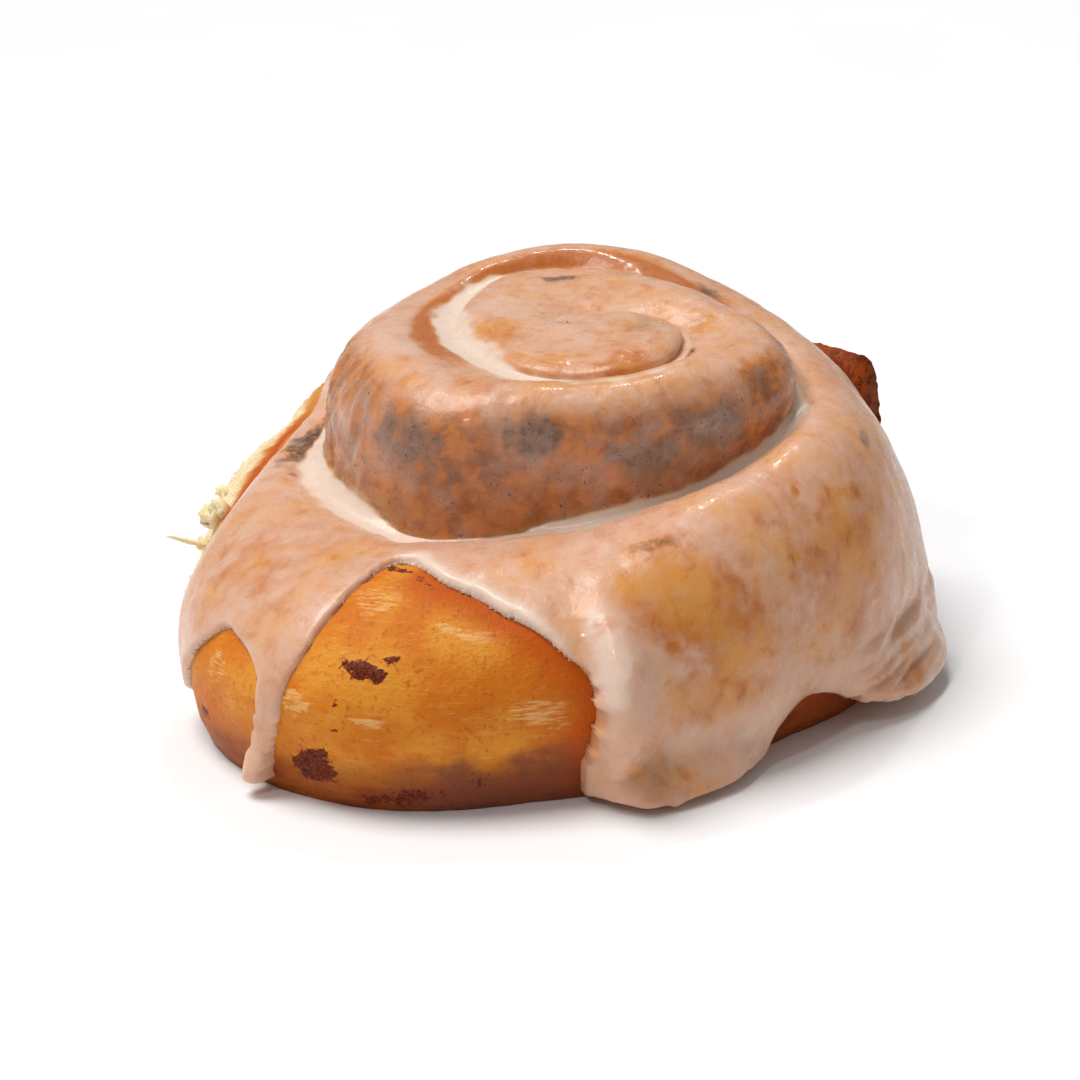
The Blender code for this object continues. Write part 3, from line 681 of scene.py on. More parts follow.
def cut_sheet(points, marks, faces):
    """Moves the vertices near the edge onto it, and keeps the faces inside it."""
    values = covered(marks)
    near_faces = [face for face in faces if min(values[face]) < 0 <= max(values[face])]
    edge = edge_points(points, values, near_faces)
    tree = tree_of(edge)
    touched = sorted({corner for face in near_faces for corner in face})
    inside = values >= 0
    for corner in touched:
        spot, _, distance = tree.find(points[corner])
        limit = SNAP_INSIDE if inside[corner] else SNAP_OUTSIDE
        if distance < limit * CELL:
            points[corner] = spot
            inside[corner] = True
    kept = []
    for face in faces:
        corners = [corner for corner in face if inside[corner]]
        if len(corners) > 2:
            kept.append(corners)
    return kept, tree


def mesh_arrays(build):
    build.verts.ensure_lookup_table()
    build.verts.index_update()
    points = np.array([vert.co[:] for vert in build.verts])
    faces = [[vert.index for vert in face.verts] for face in build.faces]
    return points, faces


def refine_near(build, tree, limit):
    """Splits the faces whose vertices all lie near the edge."""
    near = {vert for vert in build.verts if tree.find(vert.co)[2] < limit}
    edges = [edge for edge in build.edges if edge.verts[0] in near and edge.verts[1] in near]
    bmesh.ops.subdivide_edges(build, edges=edges, cuts=1, use_grid_fill=True)


def edge_pairs(edges):
    return np.array([[vert.index for vert in edge.verts] for edge in edges])


def blur(values, pairs, rounds, weight=1.0, hold=None):
    """Values averaged with those of the neighbours, again and again."""
    count = len(values)
    degree = np.bincount(pairs[:, 0], minlength=count) + np.bincount(pairs[:, 1], minlength=count)
    degree = np.maximum(degree, 1)[:, None]
    weight = np.broadcast_to(np.asarray(weight, float), (count,))[:, None]
    for _ in range(rounds):
        total = np.stack([
            np.bincount(pairs[:, 0], values[pairs[:, 1], axis], count)
            + np.bincount(pairs[:, 1], values[pairs[:, 0], axis], count)
            for axis in range(values.shape[1])
        ], axis=1)
        values = values + weight * (total / degree - values)
        if hold is not None:
            values = hold(values)
    return values


def unit(vectors):
    return vectors / np.maximum(np.linalg.norm(vectors, axis=1, keepdims=True), TINY_LENGTH)


def strip_rows(sheet, coil, coil_columns, free, free_columns):
    """Rows from the eye of the roll outwards, joined: first those of the inner laps, then the others."""
    seams = {"eye": sheet.add((0.0, EYE_Y, EYE_HEIGHT), START_TURN, 0.0)}
    coil_rows = add_rows(sheet, coil, *coil_columns, seams)
    free_rows = add_rows(sheet, free, *free_columns, seams)
    rows = coil_rows + free_rows
    for first, second in zip(rows[:-1], rows[1:]):
        sheet.join_rows(first, second)
    return coil_rows, free_rows


def icing_base():
    """The dough under the icing as one fine sheet, cut along the edge of the icing."""
    sheet = Sheet()
    turns = row_turns(ICING_END_TURN + ICING_MARGIN)
    coil = turns[(turns < FINE_TURN) & (turns > START_TURN)]
    free = turns[turns >= FINE_TURN]
    wall = np.append(steps_of(FREE_WALL_COLUMNS), ICING_BASE_SHARES)
    coil_columns = (COIL_INNER_COLUMNS, steps_of(COIL_WALL_COLUMNS))
    strip_rows(sheet, coil, coil_columns, free, (FREE_INNER_COLUMNS, wall))
    points = warp(sheet.points)
    marks = np.array(sheet.marks)
    faces, tree = cut_sheet(points, marks, sheet.faces)
    return points, marks, faces, tree


def seam_tree():
    """The seams between the laps as a line of points."""
    turns = np.arange(0.0, FREE_TURN + SEAM_MARGIN, SEAM_STEP)
    seam = read_table(STATIONS, turns)[:, None, 0:2]
    return tree_of(warp(to_space(turns, seam)[:, 0]))


def mark_weights(points, marks, spots, shift=0.0):
    """How far each point lies in each mark, 1 in its middle and 0 outside, with an uneven outline."""
    uneven = 1 + MARK_UNEVENNESS * waves(points, MARK_NOISE_LENGTH, 3, shift=shift)
    radius = np.hypot(points[:, 0], points[:, 1] - EYE_Y)
    for turn, share, length, width, *values in spots:
        inner = steps_of(SLOPE_STEPS)
        profile = lap_points([turn], inner, [max(share, 0.0)])
        column = -1 if share >= 0 else int((share + 1) * SLOPE_STEPS) - 1
        middle = warp(to_space([turn], profile)[0, [column]])[0]
        along = (marks[:, 0] - turn) * 2 * math.pi * radius
        straight = ((points - middle) ** 2).sum(axis=1)
        across_lap = np.maximum(straight - along**2, 0)
        reach = np.sqrt((along / length) ** 2 + across_lap / width**2) * uneven
        yield 1 - ease(*MARK_FADE, reach), values


def strip_length(turns):
    """Length of the strip of dough from the eye of the roll to the given turns."""
    fine = np.arange(START_TURN, TAIL_TURN + SEAM_MARGIN, LENGTH_STEP)
    radius = read_table(STATIONS, fine)[:, 2]
    return np.interp(turns, fine, np.cumsum(radius) * 2 * math.pi * LENGTH_STEP)


def strip_place(marks):
    """Place of each point on the unrolled strip: along it, and across it."""
    return np.stack([strip_length(marks[:, 0]), marks[:, 1] * WALL_LENGTH, 0 * marks[:, 0]], axis=1)


def strip_noise(marks, around, down, shift=0.0):
    """Noise whose waves are stretched along or across the strip of dough."""
    return waves(strip_place(marks) / (around, down, 1.0), 1.0, shift=shift)


def pool_width(marks):
    """Width of the pool over the seam that is nearest to each point."""
    turns = marks[:, 0]
    seam_turns = np.where(marks[:, 1] < 0, turns - 1.0, turns)
    return read_table(POOLS, seam_turns)[:, 0]


def surface_relief(points, marks, far):
    """Waves, wrinkles and folds of the icing."""
    turns = marks[:, 0]
    shares = marks[:, 1]
    relief = sum_of_waves(points, ICING_WAVES)
    relief += RUNS_HEIGHT * strip_noise(marks, *RUNS) * ease(*RUNS_SET_IN, shares)
    drum_end = within(DRUM_END, turns) * within(DRUM_END_WALL, shares)
    creases = np.abs(strip_noise(marks, *CREASES))
    relief += drum_end * (CREASE_HEIGHT - CREASE_DEPTH * creases)
    frill = within(FRILL, turns) * ease(*FRILL_HEM, shares)
    folds = np.abs(strip_noise(marks, *FOLDS))
    relief += frill * (FOLD_HEIGHT - FOLD_DEPTH * folds)
    return relief * ease(*RELIEF_SETS_IN, far)


def edge_swell(marks, far):
    """Extra thickness near the lower edge, where the icing has run and stopped."""
    swell = read_table(EDGE_SWELL, marks[:, 0])[:, 0]
    swell = np.where(marks[:, 0] < FREE_TURN, 0.0, swell) * np.exp(-((far / SWELL_SPREAD) ** 2))
    return swell * (1 - within(DRIP, marks[:, 0]) * ease(*DRIP_TIP, marks[:, 1]))


def icing_height(points, marks, far):
    """Height of the icing over the dough, with a rounded lip that ends just inside the dough."""
    lip_height = read_table(LIPS, marks[:, 0])[:, 0]
    body = ICING_HEIGHT - (ICING_HEIGHT - lip_height) * np.exp(-far / LIP_SPREAD)
    close = np.clip(far / (LIP_WIDTH * np.maximum(lip_height, LEAST_LIP)), 0, 1)
    lip = np.sqrt(1 - (1 - close) ** 2)
    total = body + surface_relief(points, marks, far) + edge_swell(marks, far)
    return total * lip - LIP_DIP * (1 - close)


def lift_direction(points, normals, pairs):
    """The way the icing rises off the dough: never down near the floor."""
    low = np.clip(1 - points[:, 2] / LOW_ZONE, 0, 1)[:, None]
    flat = normals.copy()
    flat[:, 2] = np.maximum(flat[:, 2], 0)
    direction = unit(normals * (1 - low) + flat * low)
    return unit(blur(direction, pairs, DIRECTION_ROUNDS))


def lift(points, normals, marks, edge, pairs, rim):
    """The outer face of the icing: rounded at its edge, swollen at drips, pooled in the seams."""
    far = distances(points, edge)
    far[rim] = 0.0
    seam = distances(points, seam_tree())
    height = icing_height(points, marks, far)
    lifted = points + lift_direction(points, normals, pairs) * height[:, None]
    width = pool_width(marks)
    pool = ease(*POOL_FADE, seam / np.maximum(width, 1.0)) * ease(*POOL_FROM_EDGE, far)
    least = np.minimum(height, LEAST_HEIGHT)

    def above_dough(values):
        depth = ((values - points) * normals).sum(axis=1)
        return values + normals * np.maximum(least - depth, 0)[:, None]

    lifted = blur(lifted, pairs, POOL_ROUNDS, POOL_STRENGTH * pool, above_dough)
    lifted[:, 2] = np.maximum(lifted[:, 2], FLOOR_CLEARANCE)
    depth = np.maximum(((lifted - points) * normals).sum(axis=1), 0.0)
    return lifted, depth, far, seam


def make_piece(name, points, faces, material, marks=None):
    """A named object in metres that rides on the roll, with its painted masks."""
    mesh = bpy.data.meshes.new(name)
    mesh.from_pydata([tuple(point * MM) for point in points], [], faces)
    mesh.polygons.foreach_set("use_smooth", [True] * len(mesh.polygons))
    for key, values in (marks or {}).items():
        values = np.asarray(values, np.float32)
        if values.ndim == 2:
            layer = mesh.attributes.new(key, "FLOAT_VECTOR", "POINT")
            layer.data.foreach_set("vector", (values * MM).ravel())
        else:
            layer = mesh.attributes.new(key, "FLOAT", "POINT")
            layer.data.foreach_set("value", values)
    mesh.materials.append(material)
    piece = bpy.data.objects.new(name, mesh)
    bpy.context.scene.collection.objects.link(piece)
    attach(piece, "root")
    return piece


def icing_mesh(points, marks, faces, edge):
    """The sheet as a mesh that keeps its marks, split finer near its edge."""
    build = bmesh.new()
    turn_layer = build.verts.layers.float.new("turn")
    share_layer = build.verts.layers.float.new("share")
    verts = {}
    for corner in sorted({corner for face in faces for corner in face}):
        vert = build.verts.new(points[corner])
        vert[turn_layer] = marks[corner, 0]
        vert[share_layer] = marks[corner, 1]
        verts[corner] = vert
    for face in faces:
        build.faces.new([verts[corner] for corner in face])
    bmesh.ops.remove_doubles(build, verts=build.verts, dist=SAME_PLACE)
    for width in FINE_BANDS:
        refine_near(build, edge, width)
    bmesh.ops.recalc_face_normals(build, faces=build.faces)
    build.normal_update()
    return build, turn_layer, share_layer


def build_icing(material):
    points, marks, faces, edge = icing_base()
    build, turn_layer, share_layer = icing_mesh(points, marks, faces, edge)
    points, faces = mesh_arrays(build)
    normals = np.array([vert.normal[:] for vert in build.verts])
    if normals[np.argmax(points[:, 2]), 2] < 0:
        normals = -normals
        faces = [face[::-1] for face in faces]
    marks = np.array([(vert[turn_layer], vert[share_layer]) for vert in build.verts])
    rim = np.array([vert.is_boundary for vert in build.verts])
    pairs = edge_pairs(build.edges)
    rim_pairs = edge_pairs([line for line in build.edges if line.is_boundary])
    build.free()
    points = blur(points, rim_pairs, RIM_ROUNDS, RIM_SMOOTHING * rim)
    lifted, depth, far, seam = lift(points, normals, marks, edge, pairs, rim)
    masks = icing_masks(points, marks, depth, far, seam)
    piece = make_piece("icing_glaze", lifted, faces, material, masks)
    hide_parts("icing")
    return edge


def pool_mask(points, marks, seam):
    """Where the icing has pooled over a seam, with a wavy outline."""
    width = pool_width(marks)
    wavy = seam * (1 + POOL_WAVER * waves(points, POOL_WAVER_LENGTH, shift=7.0))
    return ease(*POOL_COLOUR_FADE, wavy / np.maximum(width, LEAST_POOL)) * ease(*POOL_SETS_IN, width)


def icing_masks(points, marks, depth, far, seam):
    """Where the icing is thick, where cinnamon clouds or darkens it, where painted shade darkens the foot
    of the drum wall, and where it has pooled.
    """
    turns = marks[:, 0]
    shares = marks[:, 1]
    pool = pool_mask(points, marks, seam)
    wall = within(DRUM, turns) * ease(*DRUM_WALL, shares)
    wall_foot = wall * ease(*DRUM_FOOT, shares)
    rim = within(RIM, turns) * within(RIM_SLOPE, shares)
    wrap = ease(*WRAP, turns) * ease(*WRAP_WALL, shares)
    cover = COVER - WALL_LOSS * wall - WRAP_LOSS * wrap - RIM_LOSS * rim
    cover += DEEP_GAIN * ease(*DEEP, depth) + sum_of_waves(points, COVER_WAVES)
    cover += read_table(LIPS, turns)[:, 1] * np.exp(-((far / LIP_REACH) ** 2))
    cloud = ease(*CLOUD_SPAN, waves(points, CLOUD_LENGTH, 3, shift=3.0))
    cloud *= CLOUD_ON_WALL * wall * ease(*CLOUD_LOWEST, shares)
    tan = ease(*TAN_SPAN, waves(points, TAN_LENGTH, shift=6.0))
    # dark: a little over the whole drum wall and painted shade at its foot, then the caramel marks
    dark = DARK_ON_WALL * wall + SHADE_AT_DRUM_FOOT * wall_foot
    for weight, (change, clouding, darkening) in mark_weights(points, marks, ICING_MARKS):
        cover += weight * change
        cloud = np.maximum(cloud, weight * clouding)
        dark = np.maximum(dark, weight * darkening)
    open_face = 1 - pool
    return {
        "cover": np.clip(cover, LEAST_COVER, 1) * open_face + pool,
        "cloud": cloud * open_face,
        "dark": dark * (1 - POOL_STRENGTH * pool),
        "pool": pool,
        "wall": wall * open_face,
        "low_wall": wall_foot * tan * open_face,
        "rim": rim * open_face,
        "strip": strip_place(marks),
    }


# Dough: the strip with its slit, its free wall and its base

def dough_sheet():
    """Rows of the strip from the eye to its end, its cut end face and its flat base."""
    sheet = Sheet()
    turns = row_turns(TAIL_TURN)
    coil = turns[(turns < FREE_TURN + TINY) & (turns > START_TURN)]
    free = turns[turns > FREE_TURN + TINY]
    wall = np.append(steps_of(CRUST_WALL_COLUMNS), CRUST_BASE_SHARES)
    coil_columns = (HIDDEN_INNER_COLUMNS, steps_of(HIDDEN_WALL_COLUMNS))
    coil_rows, free_rows = strip_rows(sheet, coil, coil_columns, free, (HIDDEN_INNER_COLUMNS, wall))
    centre = sheet.add((0.0, EYE_Y, 0.0), 0.0, 2.0)
    feet = [row[-1] for row in free_rows]
    for first, second in zip(feet, feet[1:] + feet[:1]):
        sheet.add_face([centre, first, second])
    sheet.add_face(free_rows[-1] + [coil_rows[-1][-1]])
    return sheet


def mesh_of(points, faces):
    """A mesh under way whose faces all point out."""
    build = bmesh.new()
    verts = [build.verts.new(point) for point in points]
    for face in faces:
        build.faces.new([verts[corner] for corner in face])
    bmesh.ops.recalc_face_normals(build, faces=build.faces)
    build.normal_update()
    return build


def build_dough(material, edge):
    sheet = dough_sheet()
    points = warp(sheet.points)
    points[:, 2] = np.maximum(points[:, 2], 0)
    marks = np.array(sheet.marks)
    build = mesh_of(points, sheet.faces)
    points, faces = mesh_arrays(build)
    normals = np.array([vert.normal[:] for vert in build.verts])
    build.free()
    far = distances(points, edge)
    far = np.where(covered(marks) < 0, far, -far)
    masks = dough_masks(points, marks, far)
    points = points + normals * dough_relief(points, marks, masks)[:, None]
    points[:, 2] = np.maximum(points[:, 2], 0)
    piece = make_piece("dough_crust", points, faces, material, masks)
    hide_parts("dough")


def dough_masks(points, marks, far):
    """Where the dough is bare, torn, burnt, pale, flaked or darkened by its filling, and where its foot is
    darker from browning and painted shade.
    """
    turns = marks[:, 0]
    shares = marks[:, 1]
    bare = ease(*BARE_SETS_IN, far)
    torn = within(TORN, turns) * bare * ease(*TORN_WALL, shares)
    skin = ease(*SKIN_WIDTH, far + SKIN_WAVER * waves(points, SKIN_WAVER_LENGTH, 2, shift=4.0))
    skin *= ease(*TORN_SKIN, turns)
    wavy_shares = shares + FILM_WAVER * waves(points, FILM_WAVER_LENGTH, 3, shift=1.0)
    wavy_turns = turns + TAIL_WAVER * waves(points, TAIL_WAVER_LENGTH, 3, shift=12.0)
    pale = np.zeros(len(points))
    for weight, (strength,) in mark_weights(points, marks, PALE_MARKS, 5.0):
        pale = np.maximum(pale, weight * strength)
    # dark holds the burnt marks, and painted shade at the front foot where the crust tucks under to the
    # floor
    dark = np.zeros(len(points))
    rise = np.zeros(len(points))
    for weight, (darkening, height) in mark_weights(points, marks, CRUST_MARKS, 3.0):
        dark = np.maximum(dark, weight * darkening)
        rise = np.maximum(rise, weight * height)
    browned = BROWNING * ease(*BROWNED_WIDTH, far) * ease(*WINDOW_END, turns)
    return {
        "torn": torn * (1 - torn * skin),
        "tail": ease(*TAIL, wavy_turns),
        "bare": bare,
        # low: the foot of the wall, darker in the crust colour from browning and from painted shade where
        # it faces down
        "low": ease(*FOOT, shares),
        "film": within(FILM, turns) * ease(*FILM_WALL, wavy_shares),
        "dark": dark,
        "rise": rise,
        "pale": pale,
        "near_edge": browned + torn * ease(*TORN_SKIN_WIDTH, far),
        "strip": strip_place(marks),
    }


def dough_relief(points, marks, masks):
    """Height of flakes, wrinkles, caramel and torn crumb over the plain crust."""
    smooth = masks["bare"] * (1 - masks["torn"])
    flaky = within(FLAKES, marks[:, 0]) * ease(*FLAKES_WALL, marks[:, 1])
    relief = smooth * CRUST_WAVES * waves(points, CRUST_WAVE_LENGTH, 2)
    grooves = np.abs(strip_noise(marks, *GROOVES))
    relief -= smooth * (CRUST_GROOVES + FLAKE_GROOVES * flaky) * grooves
    rough = BLISTER_RISE + BLISTER_WAVES * waves(points, BLISTER_LENGTH, 3, shift=2.0)
    relief += smooth * masks["rise"] * rough
    shaggy = -TORN_DEPTH
    for length, depth, height, shift in SHAGGY_WAVES:
        shaggy = shaggy + height * waves(points, length, depth, shift)
    relief += masks["torn"] * shaggy
    relief += masks["tail"] * TAIL_WAVES * waves(points, TAIL_WAVE_LENGTH, 4, shift=6.0)
    return relief


def surface_spot(turn, share):
    """A point on the outer wall of the dough, and the way out of it."""
    spots = lap_points([turn], [1.0], [share, share + SHARE_STEP])
    here, below = warp(to_space([turn], spots)[0, 1:])
    beside = warp(to_space([turn + SEAM_STEP], spots[:, 1:2])[0])[0]
    outward = unit(np.cross(below - here, beside - here)[None])[0]
    if outward[0] * here[0] + outward[1] * (here[1] - EYE_Y) < 0:
        outward = -outward
    return here, outward


def add_tuft(sheet, root, direction, length, radius, draw):
    """A rounded, uneven lump of crumb, longer along its direction."""
    side = unit(np.cross(direction, TUFT_AXIS)[None])[0]
    other = np.cross(direction, side)
    shift = np.array([draw.uniform(0, TUFT_SHIFT) for _ in range(3)])
    rings = []
    for ring in range(TUFT_RINGS):
        level = math.pi * (ring + 0.5) / TUFT_RINGS
        corners = []
        for corner in range(TUFT_CORNERS):
            angle = 2 * math.pi * corner / TUFT_CORNERS
            spoke = side * math.cos(angle) + other * math.sin(angle)
            spot = direction * (length / 2) * (1 - math.cos(level)) + spoke * radius * math.sin(level)
            uneven = noise.noise(Vector((spot + shift) / TUFT_NOISE_LENGTH)) * TUFT_UNEVENNESS
            corners.append(sheet.add(root + spot * (1 + uneven), 0.0, 0.0))
        rings.append(corners)
    sheet.close_loops(rings)


def build_tufts(material):
    """Tufts of crumb that stand out where the roll was torn from its neighbour."""
    draw = random.Random(TUFT_SEED)
    sheet = Sheet()
    for _ in range(TUFT_COUNT):
        turn = draw.uniform(*TUFT_TURNS)
        edge = float(read_table(REACH, [turn])[0, 0])
        root, outward = surface_spot(turn, draw.uniform(edge + TUFT_MARGIN, TUFT_LOWEST))
        lean = np.array([draw.uniform(*span) for span in TUFT_LEANS])
        direction = unit((outward + lean)[None])[0]
        radius = draw.uniform(*TUFT_RADII)
        length = radius * draw.uniform(*TUFT_LENGTHS)
        add_tuft(sheet, root - outward * TUFT_SINK * radius, direction, length, radius, draw)
    for turn, share, lean, length, radius in LONG_TUFTS:
        root, outward = surface_spot(turn, share)
        direction = unit((outward + lean)[None])[0]
        add_tuft(sheet, root - outward * 0.5 * radius, direction, length, radius, draw)
    build = mesh_of(sheet.points, sheet.faces)
    points, faces = mesh_arrays(build)
    build.free()
    piece = make_piece("torn_tufts", points, faces, material)


def build_filling(material):
    """A ribbon with rough sides in the slit between the laps."""
    turns = np.arange(SLIT_START_TURN + SEAM_MARGIN, FREE_TURN, RIBBON_STEP)
    sheet = Sheet()
    loops = []
    for turn in turns:
        radius, height = read_table(STATIONS, [turn])[0, 0:2]
        low = SLIT_FLOOR + FILLING_CLEARANCE
        high = height - FILLING_DROP
        corners = []
        for level in np.linspace(low, high, RIBBON_LEVELS):
            corners.append((radius - FILLING_HALF_WIDTH, level))
        for level in np.linspace(high, low, RIBBON_LEVELS):
            corners.append((radius + FILLING_HALF_WIDTH, level))
        spots = to_space([turn], np.array([corners]))[0]
        loops.append([sheet.add(point, turn, 0.0) for point in spots])
    sheet.close_loops(loops)
    piece = make_piece("cinnamon_ribbon", warp(sheet.points), sheet.faces, material)
    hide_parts("cinnamon_filling")


# Materials

# Colours of the icing and of what shows through it
GOLD_DEEP = (0.56, 0.17, 0.025)
GOLD_LIGHT = (0.70, 0.30, 0.070)
GOLD_RUNS = (0.46, 0.115, 0.018)
ROAST_LIGHT = (0.62, 0.22, 0.055)
ROAST_DEEP = (0.36, 0.105, 0.025)
ROAST_RUNS = (0.30, 0.075, 0.018)
RIM_BROWN = (0.52, 0.150, 0.028)
WALL_FOOT_TAN = (0.46, 0.24, 0.065)
CLOUD_LIGHT = (0.32, 0.205, 0.145)
CLOUD_DEEP = (0.19, 0.115, 0.080)
# Caramel marks, and painted shade at the foot of the drum wall
CARAMEL_AND_SHADE = (0.050, 0.016, 0.008)
SPECK = (0.10, 0.032, 0.012)
SUGAR = (0.73, 0.455, 0.325)
POOLED_SUGAR = (0.78, 0.64, 0.49)
THICK_SUGAR = (0.82, 0.64, 0.52)

# Colours of the dough
CRUST_DEEP = (0.66, 0.175, 0.008)
CRUST_LIGHT = (0.76, 0.29, 0.026)
CRUST_BANDS = (0.70, 0.185, 0.010)
CRUST_SPOTS = (0.60, 0.145, 0.008)
CRUST_GRAIN = (0.42, 0.085, 0.005)
CRUST_FIBRES = (0.88, 0.50, 0.14)
PALE_STREAKS = (0.92, 0.60, 0.24)
CRUST_BROWNED = (0.53, 0.085, 0.002)
# Dark foot of the crust: partly browning, partly painted shade where the wall turns under
CRUST_FOOT_BROWNED_AND_SHADED = (0.25, 0.040, 0.004)
SYRUP_FILM = (0.22, 0.060, 0.030)
# Burnt marks, also used for painted shade at the front foot of the crust
BURNT_AND_SHADE_DEEP = (0.035, 0.006, 0.003)
BURNT_AND_SHADE_RED = (0.26, 0.032, 0.005)
TAIL_LIGHT = (0.33, 0.060, 0.005)
TAIL_DEEP = (0.18, 0.022, 0.003)
TAIL_SPOTS = (0.050, 0.010, 0.003)
CRUMB_DEEP = (0.86, 0.60, 0.28)
CRUMB_LIGHT = (0.96, 0.84, 0.60)
CRUMB_GOLD = (0.76, 0.40, 0.10)
CRUMB_SKIN = (0.66, 0.29, 0.050)
CRUMB_PORES = (0.22, 0.060, 0.012)
TUFT_DEEP = (0.88, 0.66, 0.34)
TUFT_LIGHT = (0.95, 0.82, 0.56)
FILLING_DEEP = (0.06, 0.018, 0.008)
FILLING_LIGHT = (0.16, 0.055, 0.02)

# Colour sockets of a mix node
MIX_FIRST = 6
MIX_SECOND = 7
MIX_RESULT = 2

# Patterns: length of the waves in millimetres, detail, roughness and distortion
ICING_BROAD = (9.0, 3.0, 0.5, 0.0)
ICING_MIDDLE = (3.4, 4.0, 0.6, 0.5)
ICING_SMALL = (1.4, 4.0, 0.65, 0.0)
ICING_FINE = (0.55, 3.0, 0.6, 0.0)
ICING_FLOW = (2.8, 4.0, 0.6, 0.3)
CRUST_BROAD = (10.0, 3.0, 0.55, 0.0)
CRUST_MIDDLE = (2.5, 5.0, 0.65, 0.0)
CRUST_SMALL = (0.9, 4.0, 0.65, 0.0)
CRUST_FINE = (0.4, 3.0, 0.6, 0.0)
FIBRES = (1.1, 6.0, 0.7, 0.2)
BANDS = (4.0, 4.0, 0.6, 0.3)
SPOTS = (1.8, 6.0, 0.75, 0.0)
FLECKS = (0.7, 5.0, 0.7, 0.2)
CRUMB_FINE = (0.3, 3.0, 0.6, 0.0)
FILLING_FINE = (0.6, 4.0, 0.65, 0.0)
FLOOR_PATTERN = (60.0, 3.0, 0.5, 0.0)

# How patterns are squeezed along the strip, across it and through it
DOWN_THE_WALL = (1.0, 0.35, 1.0)
FIBRE_SCALE = (0.16, 1.0, 1.0)
BAND_SCALE = (0.5, 1.0, 1.0)
FLECK_SCALE = (0.35, 1.0, 1.0)

# Spans of a pattern over which one colour turns into the next, and the most of the next one
SOFT = (0.35, 0.65, 1.0)
WIDE = (0.25, 0.75, 1.0)
EVEN = (0.30, 0.70, 1.0)
GOLD_RUNS_SPAN = (0.50, 0.72, 0.8)
ROAST_RUNS_SPAN = (0.45, 0.70, 0.75)
BAND_SPAN = (0.50, 0.75, 0.8)
SPOT_SPAN = (0.50, 0.70, 0.7)
GRAIN_SPAN = (0.54, 0.74, 0.7)
FIBRE_SPAN = (0.56, 0.76, 0.28)
PALE_SPAN = (0.0, 0.9, 0.6)
TAIL_SPAN = (0.40, 0.62, 1.0)
TAIL_SPOT_SPAN = (0.52, 0.70, 1.0)
CRUMB_GOLD_SPAN = (0.52, 0.75, 0.7)
PORE_SPAN = (0.64, 0.72, 0.5)

# Ranges of the icing: low and high of a pattern or mask, and what they become
FOOT_PATCHES = (0.30, 0.70, 0.9, 0.4)
CLOUD_PATCHES = (0.25, 0.75, -0.22, 0.22)
CLOUD_EDGE = (0.05, 0.95, 0.0, 0.9)
DARK_PATCHES = (0.30, 0.70, -0.2, 0.2)
DARK_EDGE = (0.1, 1.0)
DARK_PLACES = (0.0, 0.1)
COVER_MIDDLE = (0.25, 0.75, -0.14, 0.14)
COVER_BROAD = (0.25, 0.75, 0.16, -0.16)
COVER_FLOW = (0.30, 0.70, 0.07, -0.07)
THICK_EDGE = (0.75, 1.05)
SPECK_SPAN = (0.60, 0.68)
SPECK_PLACES = (0.42, 0.60)
SPECK_WALL = (0.0, 1.0, 0.0, 0.8)
ICING_GRAIN = (0.0, 1.0, 0.0, 0.30)
ICING_GLOSS = (0.20, 0.80, 0.20, 0.42)

# Ranges of the dough, the filling and the floor
PALE_PATCHES = (0.30, 0.70, -1.0, 0.4)
FOOT_BANDS = (0.30, 0.70, 1.0, 0.7)
FILM_PATCHES = (0.30, 0.60, 0.5, 0.9)
BURNT_PATCHES = (0.25, 0.75, -0.45, 0.45)
BURNT_FRAY = (0.30, 0.70, -0.12, 0.12)
BURNT_EDGE = (0.35, 0.60)
BURNT_PLACES = (0.0, 0.15)
CRUST_SMALL_GRAIN = (0.0, 1.0, 0.0, 0.6)
CRUST_FINE_GRAIN = (0.0, 1.0, 0.0, 0.25)
CRUST_GLOSS = (0.20, 0.80, 0.34, 0.58)
CRUMB_GLOSS = (0.20, 0.80, 0.6, 0.8)
FILLING_GLOSS = (0.20, 0.80, 0.3, 0.6)
FLOOR_GLOSS = (0.0, 1.0, 0.6, 0.7)

# Bumps: height in millimetres, and strength
ICING_BUMP = (0.30, 0.6)
CRUST_BUMP = (0.35, 0.8)
CRUMB_BUMP = (0.2, 0.8)
FILLING_BUMP = (0.3, 0.8)
FLOOR_BUMP = (0.01, 0.1)

# Shine: how strongly each surface reflects
ICING_SHINE = 0.32
ICING_COAT = 0.15
ICING_COAT_GLOSS = 0.10
CRUST_SHINE = 0.14
CRUMB_SHINE = 0.20

# Softness of light inside the food: share, reach of red, green and blue, and size in metres
ICING_DEPTH = (0.35, (1.0, 0.45, 0.25), 0.002)
CRUST_DEPTH = (0.15, (1.0, 0.40, 0.15), 0.0015)
CRUMB_DEPTH = (0.30, (1.0, 0.6, 0.3), 0.002)


